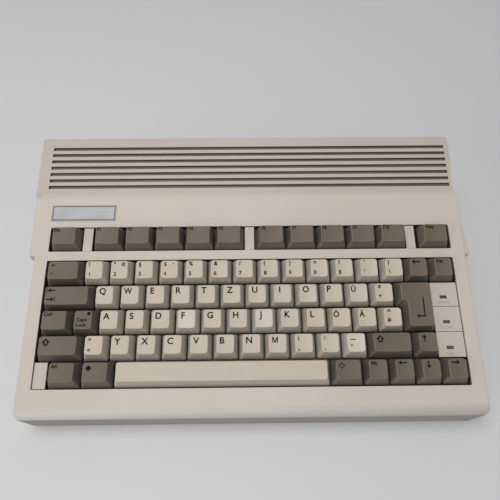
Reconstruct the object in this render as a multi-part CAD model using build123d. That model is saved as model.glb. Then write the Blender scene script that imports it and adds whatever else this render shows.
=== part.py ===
from build123d import *
import functools
import math
import os

# Wedge-shaped home computer with a built-in keyboard and a floppy drive in its right side.
# Millimetres. X runs to the right, Y to the back, Z up. The origin is on the table under the middle of
# the case. The keyboard has a frame of its own, "deck coordinates": x, v up the slope from the front edge
# of the front key row, and w square to the slope from the lower edge of the keycaps.

# ---- Case ----
CASE_WIDTH = 350.0          # over the two side cheeks
CASE_DEPTH = 240.0          # from the front face to the ends of the rear sockets
CASE_HEIGHT = 75.0          # rear top edge above the table
CHEEK_REACH = 5.5           # how far each cheek stands out of the body beside it
SLOPE = 11.0                # degrees
WALL = 2.5
FOOT_HEIGHT = 4.0
PARTING_Z = 17.0            # where top case and bottom case meet
SEAM_WIDTH = 0.6
SEAM_DEPTH = 0.8
FRONT_MARGIN = 21.0         # front face to the front key row, along Y
PANEL_REACH = 12.7633       # rear panel behind the rear top edge
SOCKET_REACH = 6.5          # how far the rear sockets stand out of the rear panel
PANEL_TOP_Z = 34.0          # top of the bulge that carries the rear sockets
DECK_W = 1.5                # deck surface
VENT_W = 2.7                # surface of the raised vent block
VENT_WALL = 3.0
STEP_V = 149.5              # foot of the step up to the vent block
STEP_RUN = 3.0
CHEEK_V = 100.0             # front ends of the side cheeks
LEFT_CHEEK_W = 0.0          # top of the left cheek
RIGHT_CHEEK_Z = 51.0        # level top of the right cheek
FRONT_EDGE_RADIUS = 5.0
FRONT_CORNER_RADIUS = 6.0
DECK_EDGE_RADIUS = 0.9
BLOCK_EDGE_RADIUS = 1.5
BASE_EDGE_CHAMFER = 1.2

# ---- Vent slots ----
VENT_REAR_MARGIN = 8.0      # least distance from a slot to the rear top edge
VENT_FIRST_V = 158.4
VENT_PITCH = 5.86
VENT_SLOT_WIDTH = 2.9
VENT_END_MARGIN = 4.5       # from the slots' ends to the body's sides
VENT_GROOVE_DEPTH = 2.2
VENT_THROUGH_WIDTH = 1.1    # open strip along the front of each groove's floor
VENT_SEGMENTS = 8           # stretches of each groove that go right through
VENT_BRIDGE = 5.0

# ---- Keyboard ----
DECK_BORDER = 10.3375       # deck beside the key openings
ROW_PITCH = 19.05
ROW_UNITS = 16.5            # length of a key row in keys
KEY_GAP = 0.85
KEY_TRAVEL = 3.8
CAP_HEIGHT = 9.0
CAP_SIDE_INSET = 2.85       # how far a cap's top edge lies inside its base
CAP_END_INSET = 2.6
CAP_WALL = 1.2
CAP_ROOF = 2.2
CAP_CORNER_RADIUS = 2.1
CAP_EDGE_RADIUS = 0.6
DISH_DEPTH = 0.6
STEM_RADIUS = 2.8
STEM_REACH = 1.0            # below the guide plate
STEM_CLEARANCE = 0.3
COLLAR_WALL = 1.4
COLLAR_TOP_W = 1.2
FUNCTION_ROW = 6
FUNCTION_ROW_GAP = 8.35     # between the number row and the function row
OPENING_MARGIN = 2.0        # from the key grid to the sides of the openings
MAIN_OPENING_FRONT = 0.5
MAIN_OPENING_REAR = 0.75
FUNCTION_OPENING_FRONT = 0.3
FUNCTION_OPENING_REAR = 0.85
OPENING_CORNER_RADIUS = 1.0
OPENING_RIM_WALL = 1.8
RIM_CLEARANCE = 0.3
PLATE_CLEARANCE = 1.2       # under the skirt of a pressed key
PLATE_THICKNESS = 2.0
PLATE_OVERLAP = 2.2         # frame plate beyond the openings
FRAME_RIM_WIDTH = 3.0
FIELD_TOP_W = 0.3           # white filler fields
FIELD_WALL = 1.6
FIELD_GAP = 0.35            # to the edges of the openings
FIELD_RIGHT_GAP = 1.6       # to the next key's place on the right
FIELD_LINE_WIDTH = 0.5      # grooves between the lamp fields
DOME_RADIUS = 5.0
DOME_HEIGHT = 3.3
DOME_GAP = 0.3              # stem end to dome
DOME_SHEET = 0.6
MEMBRANE_THICKNESS = 0.4
BACKPLATE_THICKNESS = 1.2
BACKPLATE_INSET = 2.0       # inside the edge of the frame
LENS_LENGTH = 5.0
LENS_WIDTH = 2.2
LENS_SHIFT = -2.2           # from the middle of a key row
LENS_PROUD = 0.15
LAMP_BOARD_THICKNESS = 1.4
LAMP_HEIGHT = 1.2

# ---- Badge ----
BADGE_WIDTH = 51.5
BADGE_DEPTH = 13.4
BADGE_MARGIN = 35.3         # badge's middle from the body's left side
BADGE_V = 135.8
BADGE_RECESS = 0.8
BADGE_THICKNESS = 1.1
BADGE_CLEARANCE = 0.15

# ---- Boards and supports ----
BOARD_THICKNESS = 1.6
BOARD_GAP = 3.9             # floor to the underside of the motherboard
BOARD_FRONT_MARGIN = 32.0   # board edge to the front face
BOARD_REAR_MARGIN = 3.5     # board edge to the rear panel's outer face
BOARD_SIDE_MARGIN = 3.5
POST_RADIUS = 3.5
POST_CLEARANCE = 1.0
BOSS_RADIUS = 4.0
SCREW_RADIUS = 1.5
SCREW_HEAD_RADIUS = 2.8
SCREW_HEAD_HEIGHT = 2.0
SCREW_DEPTH = 8.0           # thread length inside the top case
FOOT_RADIUS = 9.0
SHIELD_THICKNESS = 0.8
SHIELD_HEIGHT = 7.0

# ---- Trapdoor ----
DOOR_LENGTH = 110.0
DOOR_WIDTH = 62.0
DOOR_X = -60.0
DOOR_MARGIN = 85.0          # door's middle from the front face
DOOR_GAP = 0.5
HINGE_BARREL_RADIUS = 1.9
HINGE_PIN_RADIUS = 1.0
HINGE_PIN_LENGTH = 2.5
HINGE_CLEARANCE = 0.08
HINGE_LUG_HEIGHT = 4.6
LATCH_LENGTH = 14.0

# ---- Sockets ----
DSUB_HEIGHT = 12.5
DSUB_BODY_DEPTH = 9.0
DSUB_FLANGE = 1.0
DSUB_SHELL_REACH = 5.8
DSUB_SHELL_HEIGHT = 8.4
DSUB_SHELL_WALL = 0.6
DSUB_PIN_PITCH = 2.77
DSUB_ROW_PITCH = 2.84
DSUB_PIN_RADIUS = 0.5
DSUB_PIN_SETBACK = 1.0      # pin ends behind the shell's rim
DSUB_HOLE_FLOOR = 1.0       # floor of the pin holes above the flange face
DSUB_LIFT = 7.2             # socket centre above the motherboard
DSUB_SCREW_MARGIN = 13.85   # jack screw spacing beyond the long pin row
DSUB_EAR = 6.0
DSUB_SHELL_MARGIN = 2.95
DSUB_SHELL_RADIUS = 2.2
DSUB_TAPER = 10.0           # degrees
SOCKET_RECESS = 0.7         # flange face behind the rear panel's face
WINDOW_CLEARANCE = 0.5
JACK_RADIUS = 4.15
JACK_BORE_RADIUS = 1.65
JACK_COLLAR_RADIUS = 5.2
JACK_BODY_WIDTH = 12.0
JACK_BODY_DEPTH = 9.0
JACK_PITCH = 15.0
HEX_ACROSS_FLATS = 4.8
HEX_LENGTH = 4.6
HEX_BORE_RADIUS = 1.25

# ---- Card slot ----
CARD_WIDTH = 54.6
CARD_SLOT_HEIGHT = 5.6
CARD_DEPTH = 82.0
CARD_MARGIN = 73.5          # card slot's middle from the rear panel
CARD_RAIL = 1.2
CARD_MOUTH_CLEARANCE = 0.4

# ---- Floppy drive ----
DRIVE_LENGTH = 130.0
DRIVE_WIDTH = 101.6
DRIVE_HEIGHT = 20.0
DRIVE_MARGIN = 62.0         # drive's middle from the rear panel
DRIVE_LIFT = 4.5            # above the motherboard
DRIVE_SHEET = 1.5
DRIVE_COVER = 0.8
DISK_SLOT_WIDTH = 94.6
DISK_SLOT_HEIGHT = 5.0
DISK_SLOT_LIFT = 10.2       # slot's lower edge above the drive's underside
SHROUD_WALL = 2.0
RECESS_LENGTH = 38.0        # finger recess, measured along the vent block's edge
RECESS_DEPTH = 2.5
RECESS_SHIFT = 6.2741       # behind the drive's middle
BUTTON_WIDTH = 12.0
BUTTON_HEIGHT = 5.0
BUTTON_CLEARANCE = 0.3

# ---- Key layout, in key pitches from the left end; row 1 is the front row, row 6 the function row ----
SINGLE_KEYS = {
    "escape_key": (0.0, 1.25, 6),
    "help_key": (15.25, 16.5, 6),
    "backquote_key": (0.0, 1.5, 5),
    "backspace_key": (14.5, 15.5, 5),
    "delete_key": (15.5, 16.5, 5),
    "tab_key": (0.0, 2.0, 4),
    "control_key": (0.0, 1.25, 3),
    "caps_lock_key": (1.25, 2.25, 3),
    "left_shift_key": (0.0, 1.75, 2),
    "right_shift_key": (12.75, 14.5, 2),
    "cursor_up_key": (14.5, 15.5, 2),
    "left_alt_key": (0.5, 1.75, 1),
    "left_command_key": (1.75, 3.0, 1),
    "space_bar": (3.0, 11.25, 1),
    "right_command_key": (11.25, 12.5, 1),
    "right_alt_key": (12.5, 13.5, 1),
    "cursor_left_key": (13.5, 14.5, 1),
    "cursor_down_key": (14.5, 15.5, 1),
    "cursor_right_key": (15.5, 16.5, 1),
}
KEY_BANKS = {               # first key's start, number of keys, row, key width
    "function_keys_left": (1.75, 5, 6, 1.25),
    "function_keys_right": (8.5, 5, 6, 1.25),
    "number_keys": (1.5, 13, 5, 1.0),
    "top_letter_keys": (2.0, 12, 4, 1.0),
    "home_letter_keys": (2.25, 12, 3, 1.0),
    "bottom_letter_keys": (1.75, 11, 2, 1.0),
}
RETURN_SPAN = (14.0, 15.5)
RETURN_STEP = 0.25          # the upper arm's extra reach to the left
RETURN_STEM = (2.4, 0.0)
SPACE_STEMS = ((-56.0, 0.0), (0.0, 0.0), (56.0, 0.0))
FILLER_FIELDS = ((0.0, 0.5, 1), (1.25, 1.75, 6), (8.0, 8.5, 6), (14.75, 15.25, 6))
LAMP_SPAN = (15.5, 16.5)
LAMP_ROWS = (2, 3, 4)
ROW_PROFILE = {             # shift of a cap's top to the rear, tilt of its top in degrees
    1: (1.5, -3.0),
    2: (1.4, -3.0),
    3: (0.8, 0.0),
    4: (0.1, 1.5),
    5: (0.8, 3.0),
    6: (1.5, 3.0),
}
DISH_ROOM = 1.6
FIELD_EDGE = 0.3
LENS_GAP = 0.3

# ---- Places on the boards and in the floor; pairs are (X, Y), or (X, V) for the keyboard ----
SUPPORT_MARGIN = 19.5       # outer posts, feet and front screws from the body's sides
FRONT_SCREW_MARGIN = 9.0    # from the front face
REAR_SCREW_MARGIN = 6.0     # from the rear panel
LEFT_SCREW_MARGIN = 7.0     # from the left cheek's face
RIGHT_SCREW_MARGIN = 7.5    # from the right cheek's face
REAR_SCREW_X = 22.0
POST_FRONT_MARGIN = 10.0    # from the board's front edge
POST_REAR_MARGIN = 21.5     # from the rear panel
MIDDLE_POST_Y = 0.0
MIDDLE_POST_X = 20.0
FRONT_POST_X = (-60.0, 30.0)
REAR_POST_X = -40.0
DRIVE_POST_MARGIN = 14.2    # from the drive's front
DRIVE_POST_PITCH = 100.0
DRIVE_POST_SPREAD = 37.5
KEYBOARD_POST_X = 50.0
KEYBOARD_POST_V = 3.0
KEYBOARD_REAR_POSTS = ((-77.0, 118.0), (27.0, 118.0))
FRONT_FOOT_MARGIN = 24.0    # from the front face
REAR_FOOT_MARGIN = 25.5     # from the rear panel
FLOOR_VENT_X = 60.0
FLOOR_VENT_Y = -38.0
FLOOR_VENT_COUNT = 9
FLOOR_VENT_PITCH = 8.0
FLOOR_VENT_WIDTH = 3.0
FLOOR_VENT_LENGTH = 40.0
SCREW_CLEARANCE = 0.3
CROSS_WIDTH = 0.45
CROSS_DEPTH = 1.0
LOGIC_CHIPS = (             # X, distance from the board's front edge, width, length
    (-45.0, 28.0, 24.0, 24.0),
    (-5.0, 30.0, 29.0, 29.0),
    (-46.0, 68.0, 20.0, 20.0),
    (-6.0, 72.0, 24.0, 24.0),
    (60.0, 28.0, 34.0, 14.0),
    (60.0, 54.0, 34.0, 14.0),
    (108.0, 26.0, 18.0, 10.0),
    (108.0, 46.0, 18.0, 10.0),
    (-20.0, 160.0, 18.0, 10.0),
    (-70.0, 160.0, 34.0, 14.0),
)
MEMORY_COUNT = 4
MEMORY_PITCH = 17.0
MEMORY_MARGIN = 16.0        # first chip from the board's left edge
MEMORY_PLACE = 38.0         # from the board's front edge
MEMORY_SIZE = (10.0, 26.0)
CHIP_HEIGHT = 3.6
CHIP_MARK_RADIUS = 1.0
CHIP_MARK_MARGIN = 2.0
CHIP_MARK_DEPTH = 0.4
CAPACITOR_EDGE = 0.4
CAPACITORS = (              # X, distance from the board's front edge, radius, height
    (130.0, 14.0, 4.0, 8.0),
    (120.0, 68.0, 5.0, 9.0),
    (134.0, 68.0, 5.0, 9.0),
    (-110.0, 170.0, 4.0, 10.0),
    (-100.0, 170.0, 3.0, 8.0),
    (-30.0, 128.0, 4.0, 10.0),
    (-60.0, 128.0, 4.0, 10.0),
    (-140.0, 68.0, 3.2, 7.0),
)
SHIELD_X = (-70.0, 18.0)
SHIELD_PLACE = (6.0, 110.0)  # from the board's front edge
SHIELD_LEG = 6.0
RIBBON_X = 0.0
RIBBON_WIDTH = 30.0
RIBBON_STAND = 2.0
PLUG_DEPTH = 5.0
PLUG_HEIGHT = 5.0
RIB_WIDTH = 1.2
RIB_HEIGHT = 1.5
FINGER_NOTCH = 6.0

# ---- Places of the sockets ----
RIGHT_PORT_MARGINS = (61.5, 117.5)   # from the body's right side
LEFT_PORT_MARGINS = (161.5, 71.5)    # from the body's left side
REAR_PORT_KINDS = ((23, False), (25, True), (25, False), (23, True))   # pins, male
REAR_PORT_NAMES = ("external_drive_port", "serial_port", "parallel_port", "video_port")
JOYSTICK_PINS = 9
JOYSTICK_MARGINS = (60.0, 96.0)      # from the front face
AUDIO_MARGIN = 123.0        # the jack nearer the middle of each pair, from the body's left side
MODULATOR_JACK_MARGIN = 30.5
MODULATOR_DEPTH = 27.0
MODULATOR_HEIGHT = 14.5
MODULATOR_MARGIN = 9.0
POWER_MARGIN = 21.5         # from the body's right side
POWER_SIZE = 14.0
POWER_DEPTH = 10.0
POWER_CAVITY = 10.6
POWER_CAVITY_DEPTH = 8.0
POWER_PIN_RADIUS = 0.8
POWER_PIN_CIRCLE = 3.2
POWER_PINS = 5

# ---- Inside the floppy drive, along X from its front or up from its underside ----
DRIVE_FRONT_WALL = 2.0
GUIDE_WIDTH = 3.0
GUIDE_HEIGHT = 1.0
DISK_LENGTH = 94.0
SPINDLE_SETBACK = 57.0
SPINDLE_SHAFT_RADIUS = 2.0
SPINDLE_CLEARANCE = 0.05
BEARING_RADIUS = 5.0
BEARING_HEIGHT = 0.5
ROTOR_RADIUS = 20.0
ROTOR_HEIGHT = 3.0
HUB_RADIUS = 12.5
HUB_TOP = 9.4
HUB_PIN_RADIUS = 1.0
HUB_PIN_PLACE = 8.0
HUB_PIN_HEIGHT = 0.5
CARRIAGE_X0 = 6.0           # from the drive's inner end
CARRIAGE_LENGTH = 24.0
CARRIAGE_WIDTH = 28.0
CARRIAGE_BASE = 3.0
CARRIAGE_TOP = 8.0
CARRIAGE_COLUMN = 6.0
ARM_REACH = 32.0
ARM_WIDTH = 10.0
LOWER_ARM_TOP = 9.0
UPPER_ARM_BASE = 15.9
UPPER_ARM_TOP = 18.0
RAIL_RADIUS = 1.5
RAIL_CLEARANCE = 0.05
RAIL_SPREAD = 10.0
RAIL_LENGTH = 50.0
RAIL_LUG = 3.0
BUTTON_SHIFT = 33.5         # in front of the drive's middle
BUTTON_LIFT = 2.5
BUTTON_LENGTH = 8.3
BUTTON_STEM_LENGTH = 26.0
BUTTON_STEM_WIDTH = 6.0
BUTTON_STEM_HEIGHT = 3.0
BUTTON_SUNK = 0.3
DRIVE_RIBBON_WIDTH = 45.0
DRIVE_RIBBON_LIFT = 8.0

# ---- Worked out from the sizes above ----
COS = math.cos(math.radians(SLOPE))
SIN = math.sin(math.radians(SLOPE))
DECK_WIDTH = CASE_WIDTH - 2 * CHEEK_REACH
DECK_SIDE = DECK_WIDTH / 2
KEY_PITCH = (DECK_WIDTH - 2 * (DECK_BORDER + OPENING_MARGIN)) / ROW_UNITS
FRONT_Y = -CASE_DEPTH / 2
PANEL_Y = CASE_DEPTH / 2 - SOCKET_REACH
DECK_Y = FRONT_Y + FRONT_MARGIN
REAR_V = (PANEL_Y - PANEL_REACH - DECK_Y + VENT_W * SIN) / COS
DECK_Z = CASE_HEIGHT - REAR_V * SIN - VENT_W * COS
VENT_COUNT = int((REAR_V - VENT_REAR_MARGIN - VENT_FIRST_V) / VENT_PITCH) + 1
VENT_SLOT_LENGTH = DECK_WIDTH - 2 * VENT_END_MARGIN
BADGE_X = BADGE_MARGIN - DECK_SIDE
BOARD_FRONT_Y = FRONT_Y + BOARD_FRONT_MARGIN
BOARD_HALF_WIDTH = DECK_SIDE - BOARD_SIDE_MARGIN
DOOR_Y = FRONT_Y + DOOR_MARGIN
CARD_Y = PANEL_Y - CARD_MARGIN
DRIVE_Y = PANEL_Y - DRIVE_MARGIN
BUTTON_Y = DRIVE_Y - BUTTON_SHIFT
RECESS_Y = DRIVE_Y + RECESS_SHIFT
FLOOR_Z = FOOT_HEIGHT + WALL
BOARD_Z = FLOOR_Z + BOARD_GAP
BOARD_TOP = BOARD_Z + BOARD_THICKNESS
PORT_Z = BOARD_TOP + DSUB_LIFT
AUDIO_X = (AUDIO_MARGIN - DECK_SIDE, AUDIO_MARGIN - JACK_PITCH - DECK_SIDE)
MODULATOR_JACK_X = MODULATOR_JACK_MARGIN - DECK_SIDE
VIDEO_JACK_X = (MODULATOR_JACK_X, MODULATOR_JACK_X - JACK_PITCH)
POWER_X = DECK_SIDE - POWER_MARGIN
RIGHT_PORT_X = [DECK_SIDE - margin for margin in RIGHT_PORT_MARGINS]
LEFT_PORT_X = [margin - DECK_SIDE for margin in LEFT_PORT_MARGINS]
PORT_X = RIGHT_PORT_X + LEFT_PORT_X
REAR_PORTS = [(x, *kind) for x, kind in zip(PORT_X, REAR_PORT_KINDS)]
JOYSTICK_Y = [FRONT_Y + margin for margin in JOYSTICK_MARGINS]
DRIVE_Z = BOARD_TOP + DRIVE_LIFT
DRIVE_X1 = DECK_SIDE - RECESS_DEPTH - WALL - BUTTON_CLEARANCE
DRIVE_X0 = DRIVE_X1 - DRIVE_LENGTH
SUPPORT_X = DECK_SIDE - SUPPORT_MARGIN
SIDES = (-SUPPORT_X, SUPPORT_X)
FRONT_SCREW_Y = FRONT_Y + FRONT_SCREW_MARGIN
REAR_SCREW_Y = PANEL_Y - REAR_SCREW_MARGIN
CASE_SCREWS = (
    (-SUPPORT_X, FRONT_SCREW_Y),
    (0.0, FRONT_SCREW_Y),
    (SUPPORT_X, FRONT_SCREW_Y),
    (LEFT_SCREW_MARGIN - CASE_WIDTH / 2, REAR_SCREW_Y),
    (REAR_SCREW_X, REAR_SCREW_Y),
    (CASE_WIDTH / 2 - RIGHT_SCREW_MARGIN, REAR_SCREW_Y),
)
POST_FRONT_Y = BOARD_FRONT_Y + POST_FRONT_MARGIN
POST_REAR_Y = PANEL_Y - POST_REAR_MARGIN
BOARD_POSTS = (
    (-SUPPORT_X, POST_FRONT_Y),
    (FRONT_POST_X[0], POST_FRONT_Y),
    (FRONT_POST_X[1], POST_FRONT_Y),
    (SUPPORT_X, POST_FRONT_Y),
    (-SUPPORT_X, MIDDLE_POST_Y),
    (MIDDLE_POST_X, MIDDLE_POST_Y),
    (-SUPPORT_X, POST_REAR_Y),
    (REAR_POST_X, POST_REAR_Y),
)
DRIVE_POST_X = (DRIVE_X1 - DRIVE_POST_MARGIN - DRIVE_POST_PITCH, DRIVE_X1 - DRIVE_POST_MARGIN)
DRIVE_POSTS = [(x, DRIVE_Y + side * DRIVE_POST_SPREAD) for side in (-1, 1) for x in DRIVE_POST_X]
KEYBOARD_FRONT_X = (-SUPPORT_X, -KEYBOARD_POST_X, KEYBOARD_POST_X, SUPPORT_X)
KEYBOARD_POSTS = [(x, KEYBOARD_POST_V) for x in KEYBOARD_FRONT_X] + list(KEYBOARD_REAR_POSTS)
FEET = [(x, y) for y in (FRONT_Y + FRONT_FOOT_MARGIN, PANEL_Y - REAR_FOOT_MARGIN) for x in SIDES]
MEMORY_X = [MEMORY_MARGIN + index * MEMORY_PITCH - BOARD_HALF_WIDTH for index in range(MEMORY_COUNT)]
MEMORY_CHIPS = [(x, BOARD_FRONT_Y + MEMORY_PLACE) for x in MEMORY_X]
SHIELD_Y = [BOARD_FRONT_Y + place for place in SHIELD_PLACE]
SPINDLE_X = DRIVE_X1 - SPINDLE_SETBACK
PLATE_TOP_W = -(KEY_TRAVEL + PLATE_CLEARANCE)
STEM_END_W = PLATE_TOP_W - PLATE_THICKNESS - STEM_REACH
DOME_SHEET_W = STEM_END_W - DOME_GAP - DOME_HEIGHT
BACKPLATE_W = DOME_SHEET_W - DOME_SHEET - MEMBRANE_THICKNESS - BACKPLATE_THICKNESS
LAMP_BOARD_W = PLATE_TOP_W + LAMP_BOARD_THICKNESS
HINGE_Y = DOOR_Y + DOOR_WIDTH / 2
HINGE_Z = FOOT_HEIGHT + HINGE_BARREL_RADIUS + HINGE_CLEARANCE
HINGE_LUG_TOP = FOOT_HEIGHT + HINGE_LUG_HEIGHT
DECK = Pos(0, DECK_Y, DECK_Z) * Rot(SLOPE, 0, 0)


def deck_point(v, w):
    """Y and Z of a point given in deck coordinates."""
    return (DECK_Y + v * COS - w * SIN, DECK_Z + v * SIN + w * COS)


def block(x0, x1, y0, y1, z0, z1):
    """A box between two corners."""
    return Pos((x0 + x1) / 2, (y0 + y1) / 2, (z0 + z1) / 2) * Box(x1 - x0, y1 - y0, z1 - z0)


def post(x, y, z0, z1, radius):
    """An upright cylinder."""
    return Pos(x, y, (z0 + z1) / 2) * Cylinder(radius, z1 - z0)


def rod_x(x0, x1, y, z, radius):
    """A cylinder along X."""
    return Pos((x0 + x1) / 2, y, z) * Rot(0, 90, 0) * Cylinder(radius, x1 - x0)


def rod_y(x, y0, y1, z, radius):
    """A cylinder along Y."""
    return Pos(x, (y0 + y1) / 2, z) * Rot(90, 0, 0) * Cylinder(radius, y1 - y0)


def slab(points, x0, x1):
    """A prism along X over a side outline given as (Y, Z) points."""
    face = make_face(Plane.YZ.offset(x0) * Polyline(*points, close=True))
    return extrude(face, amount=x1 - x0, dir=(1, 0, 0))


def nearest_edges(shape, points):
    """The edges of a solid that lie closest to the given points."""
    edges = shape.edges()
    return [min(edges, key=lambda edge: edge.distance_to(point)) for point in points]


def group(solids):
    """One sub-part made of several separate solids."""
    return Compound(list(solids))


# ---- Case ----
def rear_y(z, inset=0.0):
    """Y of the leaning rear wall at a height."""
    top_y, top_z = deck_point(REAR_V, VENT_W)
    return top_y + (top_z - z) * SIN / COS - inset / COS


def rear_outline(inset):
    """The outline's last points: down the rear wall, out over the socket bulge and to the floor."""
    ledge_z = PANEL_TOP_Z - inset
    upper_y = rear_y(ledge_z, inset)
    panel_y = PANEL_Y - inset
    return [(upper_y, ledge_z), (panel_y, ledge_z - (panel_y - upper_y)), (panel_y, FOOT_HEIGHT + inset)]


def body_outline(inset=0.0):
    """Side outline of the body between the cheeks, or of its hollow when inset by the wall."""
    roof = VENT_W - (VENT_WALL if inset else 0)
    front_y = FRONT_Y + inset
    deck_front_v = (front_y - DECK_Y + (DECK_W - inset) * SIN) / COS
    return [
        (front_y, FOOT_HEIGHT + inset),
        deck_point(deck_front_v, DECK_W - inset),
        deck_point(STEP_V + inset / 2, DECK_W - inset),
        deck_point(STEP_V + STEP_RUN + inset / 2, roof),
        (rear_y(deck_point(REAR_V, roof)[1], inset), deck_point(REAR_V, roof)[1]),
        *rear_outline(inset),
    ]


def left_cheek_outline(inset=0.0):
    """Side outline of the left cheek, whose rear part is the end of the vent block."""
    roof = VENT_W - (VENT_WALL if inset else 0)
    cheek_y = deck_point(CHEEK_V, LEFT_CHEEK_W)[0] + inset
    cheek_v = (cheek_y - DECK_Y + (LEFT_CHEEK_W - inset) * SIN) / COS
    return [
        (cheek_y, FOOT_HEIGHT + inset),
        deck_point(cheek_v, LEFT_CHEEK_W - inset),
        deck_point(STEP_V + inset, LEFT_CHEEK_W - inset),
        deck_point(STEP_V + STEP_RUN + inset, roof),
        (rear_y(deck_point(REAR_V, roof)[1], inset), deck_point(REAR_V, roof)[1]),
        *rear_outline(inset),
    ]


def right_cheek_outline(inset=0.0):
    """Side outline of the right cheek over the floppy drive."""
    cheek_y = deck_point(CHEEK_V, LEFT_CHEEK_W)[0] + inset
    return [
        (cheek_y, FOOT_HEIGHT + inset),
        (cheek_y, RIGHT_CHEEK_Z - inset),
        (rear_y(RIGHT_CHEEK_Z - inset, inset), RIGHT_CHEEK_Z - inset),
        *rear_outline(inset),
    ]


def case_form(inset=0.0):
    """The whole case as one solid, or its hollow when inset by the wall."""
    body = DECK_WIDTH / 2 - inset
    cheek = CASE_WIDTH / 2 - inset
    return (
        slab(body_outline(inset), -body, body)
        + slab(left_cheek_outline(inset), -cheek, -body + WALL)
        + slab(right_cheek_outline(inset), body - WALL, cheek)
    )


def rounded_case():
    """The outer form with its edges rounded."""
    body = DECK_WIDTH / 2
    cheek = CASE_WIDTH / 2
    low = (FOOT_HEIGHT + PARTING_Z) / 2
    cheek_y = deck_point(CHEEK_V, LEFT_CHEEK_W)[0]
    profile = make_face(Plane.YZ.offset(-body) * Polyline(*body_outline(), close=True))
    front_z = deck_point(-FRONT_MARGIN / COS, DECK_W)[1]
    front_edge = min(profile.vertices(), key=lambda v: v.distance_to((-body, FRONT_Y, front_z)))
    form = extrude(fillet([front_edge], FRONT_EDGE_RADIUS), amount=2 * body, dir=(1, 0, 0))
    deck_side = deck_point(CHEEK_V / 2, DECK_W)
    for side in (-1, 1):
        form = fillet(nearest_edges(form, [(side * body, *deck_side)]), DECK_EDGE_RADIUS)
    plan = Rectangle(2 * body, 2 * CASE_DEPTH, align=(Align.CENTER, Align.MIN))
    plan = fillet(plan.vertices().group_by(Axis.Y)[0], FRONT_CORNER_RADIUS)
    form &= extrude(Pos(0, FRONT_Y) * plan, 2 * CASE_HEIGHT)
    form += slab(left_cheek_outline(), -cheek, -body + WALL)
    form += slab(right_cheek_outline(), body - WALL, cheek)
    rear_top = deck_point(REAR_V, VENT_W)
    block_side = deck_point((STEP_V + REAR_V) / 2, VENT_W)
    left_side = deck_point((CHEEK_V + STEP_V) / 2, LEFT_CHEEK_W)
    edges = [
        (0, *rear_top),
        (-cheek, *block_side),
        (body, *block_side),
        (-cheek, *left_side),
        (-cheek, cheek_y, low),
        (cheek, cheek_y, low),
        (cheek, (cheek_y + PANEL_Y) / 2, RIGHT_CHEEK_Z),
        (-cheek, PANEL_Y, low),
        (cheek, PANEL_Y, low),
    ]
    for edge in edges:
        form = fillet(nearest_edges(form, [edge]), BLOCK_EDGE_RADIUS)
    return chamfer(form.faces().sort_by(Axis.Z)[0].edges(), BASE_EDGE_CHAMFER)


def seam_groove():
    """The shadow line round the case where its two halves meet."""
    cheek_y = deck_point(CHEEK_V, LEFT_CHEEK_W)[0] + SEAM_DEPTH
    body = DECK_WIDTH / 2 - SEAM_DEPTH
    cheek = CASE_WIDTH / 2 - SEAM_DEPTH
    z0 = PARTING_Z - SEAM_WIDTH / 2
    z1 = PARTING_Z + SEAM_WIDTH / 2
    core = block(-body, body, FRONT_Y + SEAM_DEPTH, PANEL_Y - SEAM_DEPTH, z0, z1)
    core += block(-cheek, cheek, cheek_y, PANEL_Y - SEAM_DEPTH, z0, z1)
    return block(-CASE_WIDTH, CASE_WIDTH, -CASE_DEPTH, CASE_DEPTH, z0, z1) - core


def recess_cutter(extra=0.0):
    """The upright cylinder that scoops the finger recess out of the right side."""
    radius = (RECESS_LENGTH**2 / 4 + RECESS_DEPTH**2) / (2 * RECESS_DEPTH)
    z0 = DRIVE_Z + DISK_SLOT_LIFT - extra
    return post(DECK_WIDTH / 2 - RECESS_DEPTH + radius, RECESS_Y, z0, 2 * CASE_HEIGHT, radius + extra)


def slot_box(x0, x1, grow=0.0):
    """The disk slot's passage, or the shroud round it."""
    half = DISK_SLOT_WIDTH / 2 + grow
    z0 = DRIVE_Z + DISK_SLOT_LIFT
    return block(x0, x1, DRIVE_Y - half, DRIVE_Y + half, z0 - grow, z0 + DISK_SLOT_HEIGHT + grow)


def card_mouth(x0, x1):
    """The mouth of the card slot in the left side."""
    half = CARD_WIDTH / 2 + CARD_MOUTH_CLEARANCE
    z0 = BOARD_TOP + CARD_RAIL - CARD_MOUTH_CLEARANCE
    z1 = BOARD_TOP + CARD_RAIL + CARD_SLOT_HEIGHT + CARD_MOUTH_CLEARANCE
    return block(x0, x1, CARD_Y - half, CARD_Y + half, z0, z1)


def dsub_window(pins):
    """The rear panel's window for a D-shaped socket, in the socket's own frame."""
    half = dsub_width(pins) / 2 + WINDOW_CLEARANCE
    tall = DSUB_HEIGHT / 2 + WINDOW_CLEARANCE
    return block(-half, half, -2 * WALL, 2 * WALL, -tall, tall)


def socket_windows():
    """Everything that is cut out of the case's walls for the sockets."""
    cutters = [rear_place(x) * dsub_window(pins) for x, pins, male in REAR_PORTS]
    cutters += [side_place(y) * dsub_window(JOYSTICK_PINS) for y in JOYSTICK_Y]
    collar = JACK_COLLAR_RADIUS + WINDOW_CLEARANCE
    cutters += [rod_y(x, PANEL_Y - 2 * WALL, PANEL_Y + WALL, PORT_Z, collar) for x in AUDIO_X + VIDEO_JACK_X]
    half = POWER_SIZE / 2 + WINDOW_CLEARANCE
    cutters.append(block(POWER_X - half, POWER_X + half, PANEL_Y - 2 * WALL, PANEL_Y + WALL,
                         PORT_Z - half, PORT_Z + half))
    cutters.append(card_mouth(-CASE_WIDTH, -CASE_WIDTH / 2 + 2 * WALL))
    return cutters


def opening(v0, v1, w0, w1, grow=0.0):
    """An upright-walled opening over the full key grid, in deck coordinates."""
    half = ROW_UNITS * KEY_PITCH / 2 + OPENING_MARGIN + grow
    radius = OPENING_CORNER_RADIUS + grow
    face = Pos(0, (v0 + v1) / 2) * RectangleRounded(2 * half, v1 - v0 + 2 * grow, radius)
    return Pos(0, 0, w0) * extrude(face, amount=w1 - w0)


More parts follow.
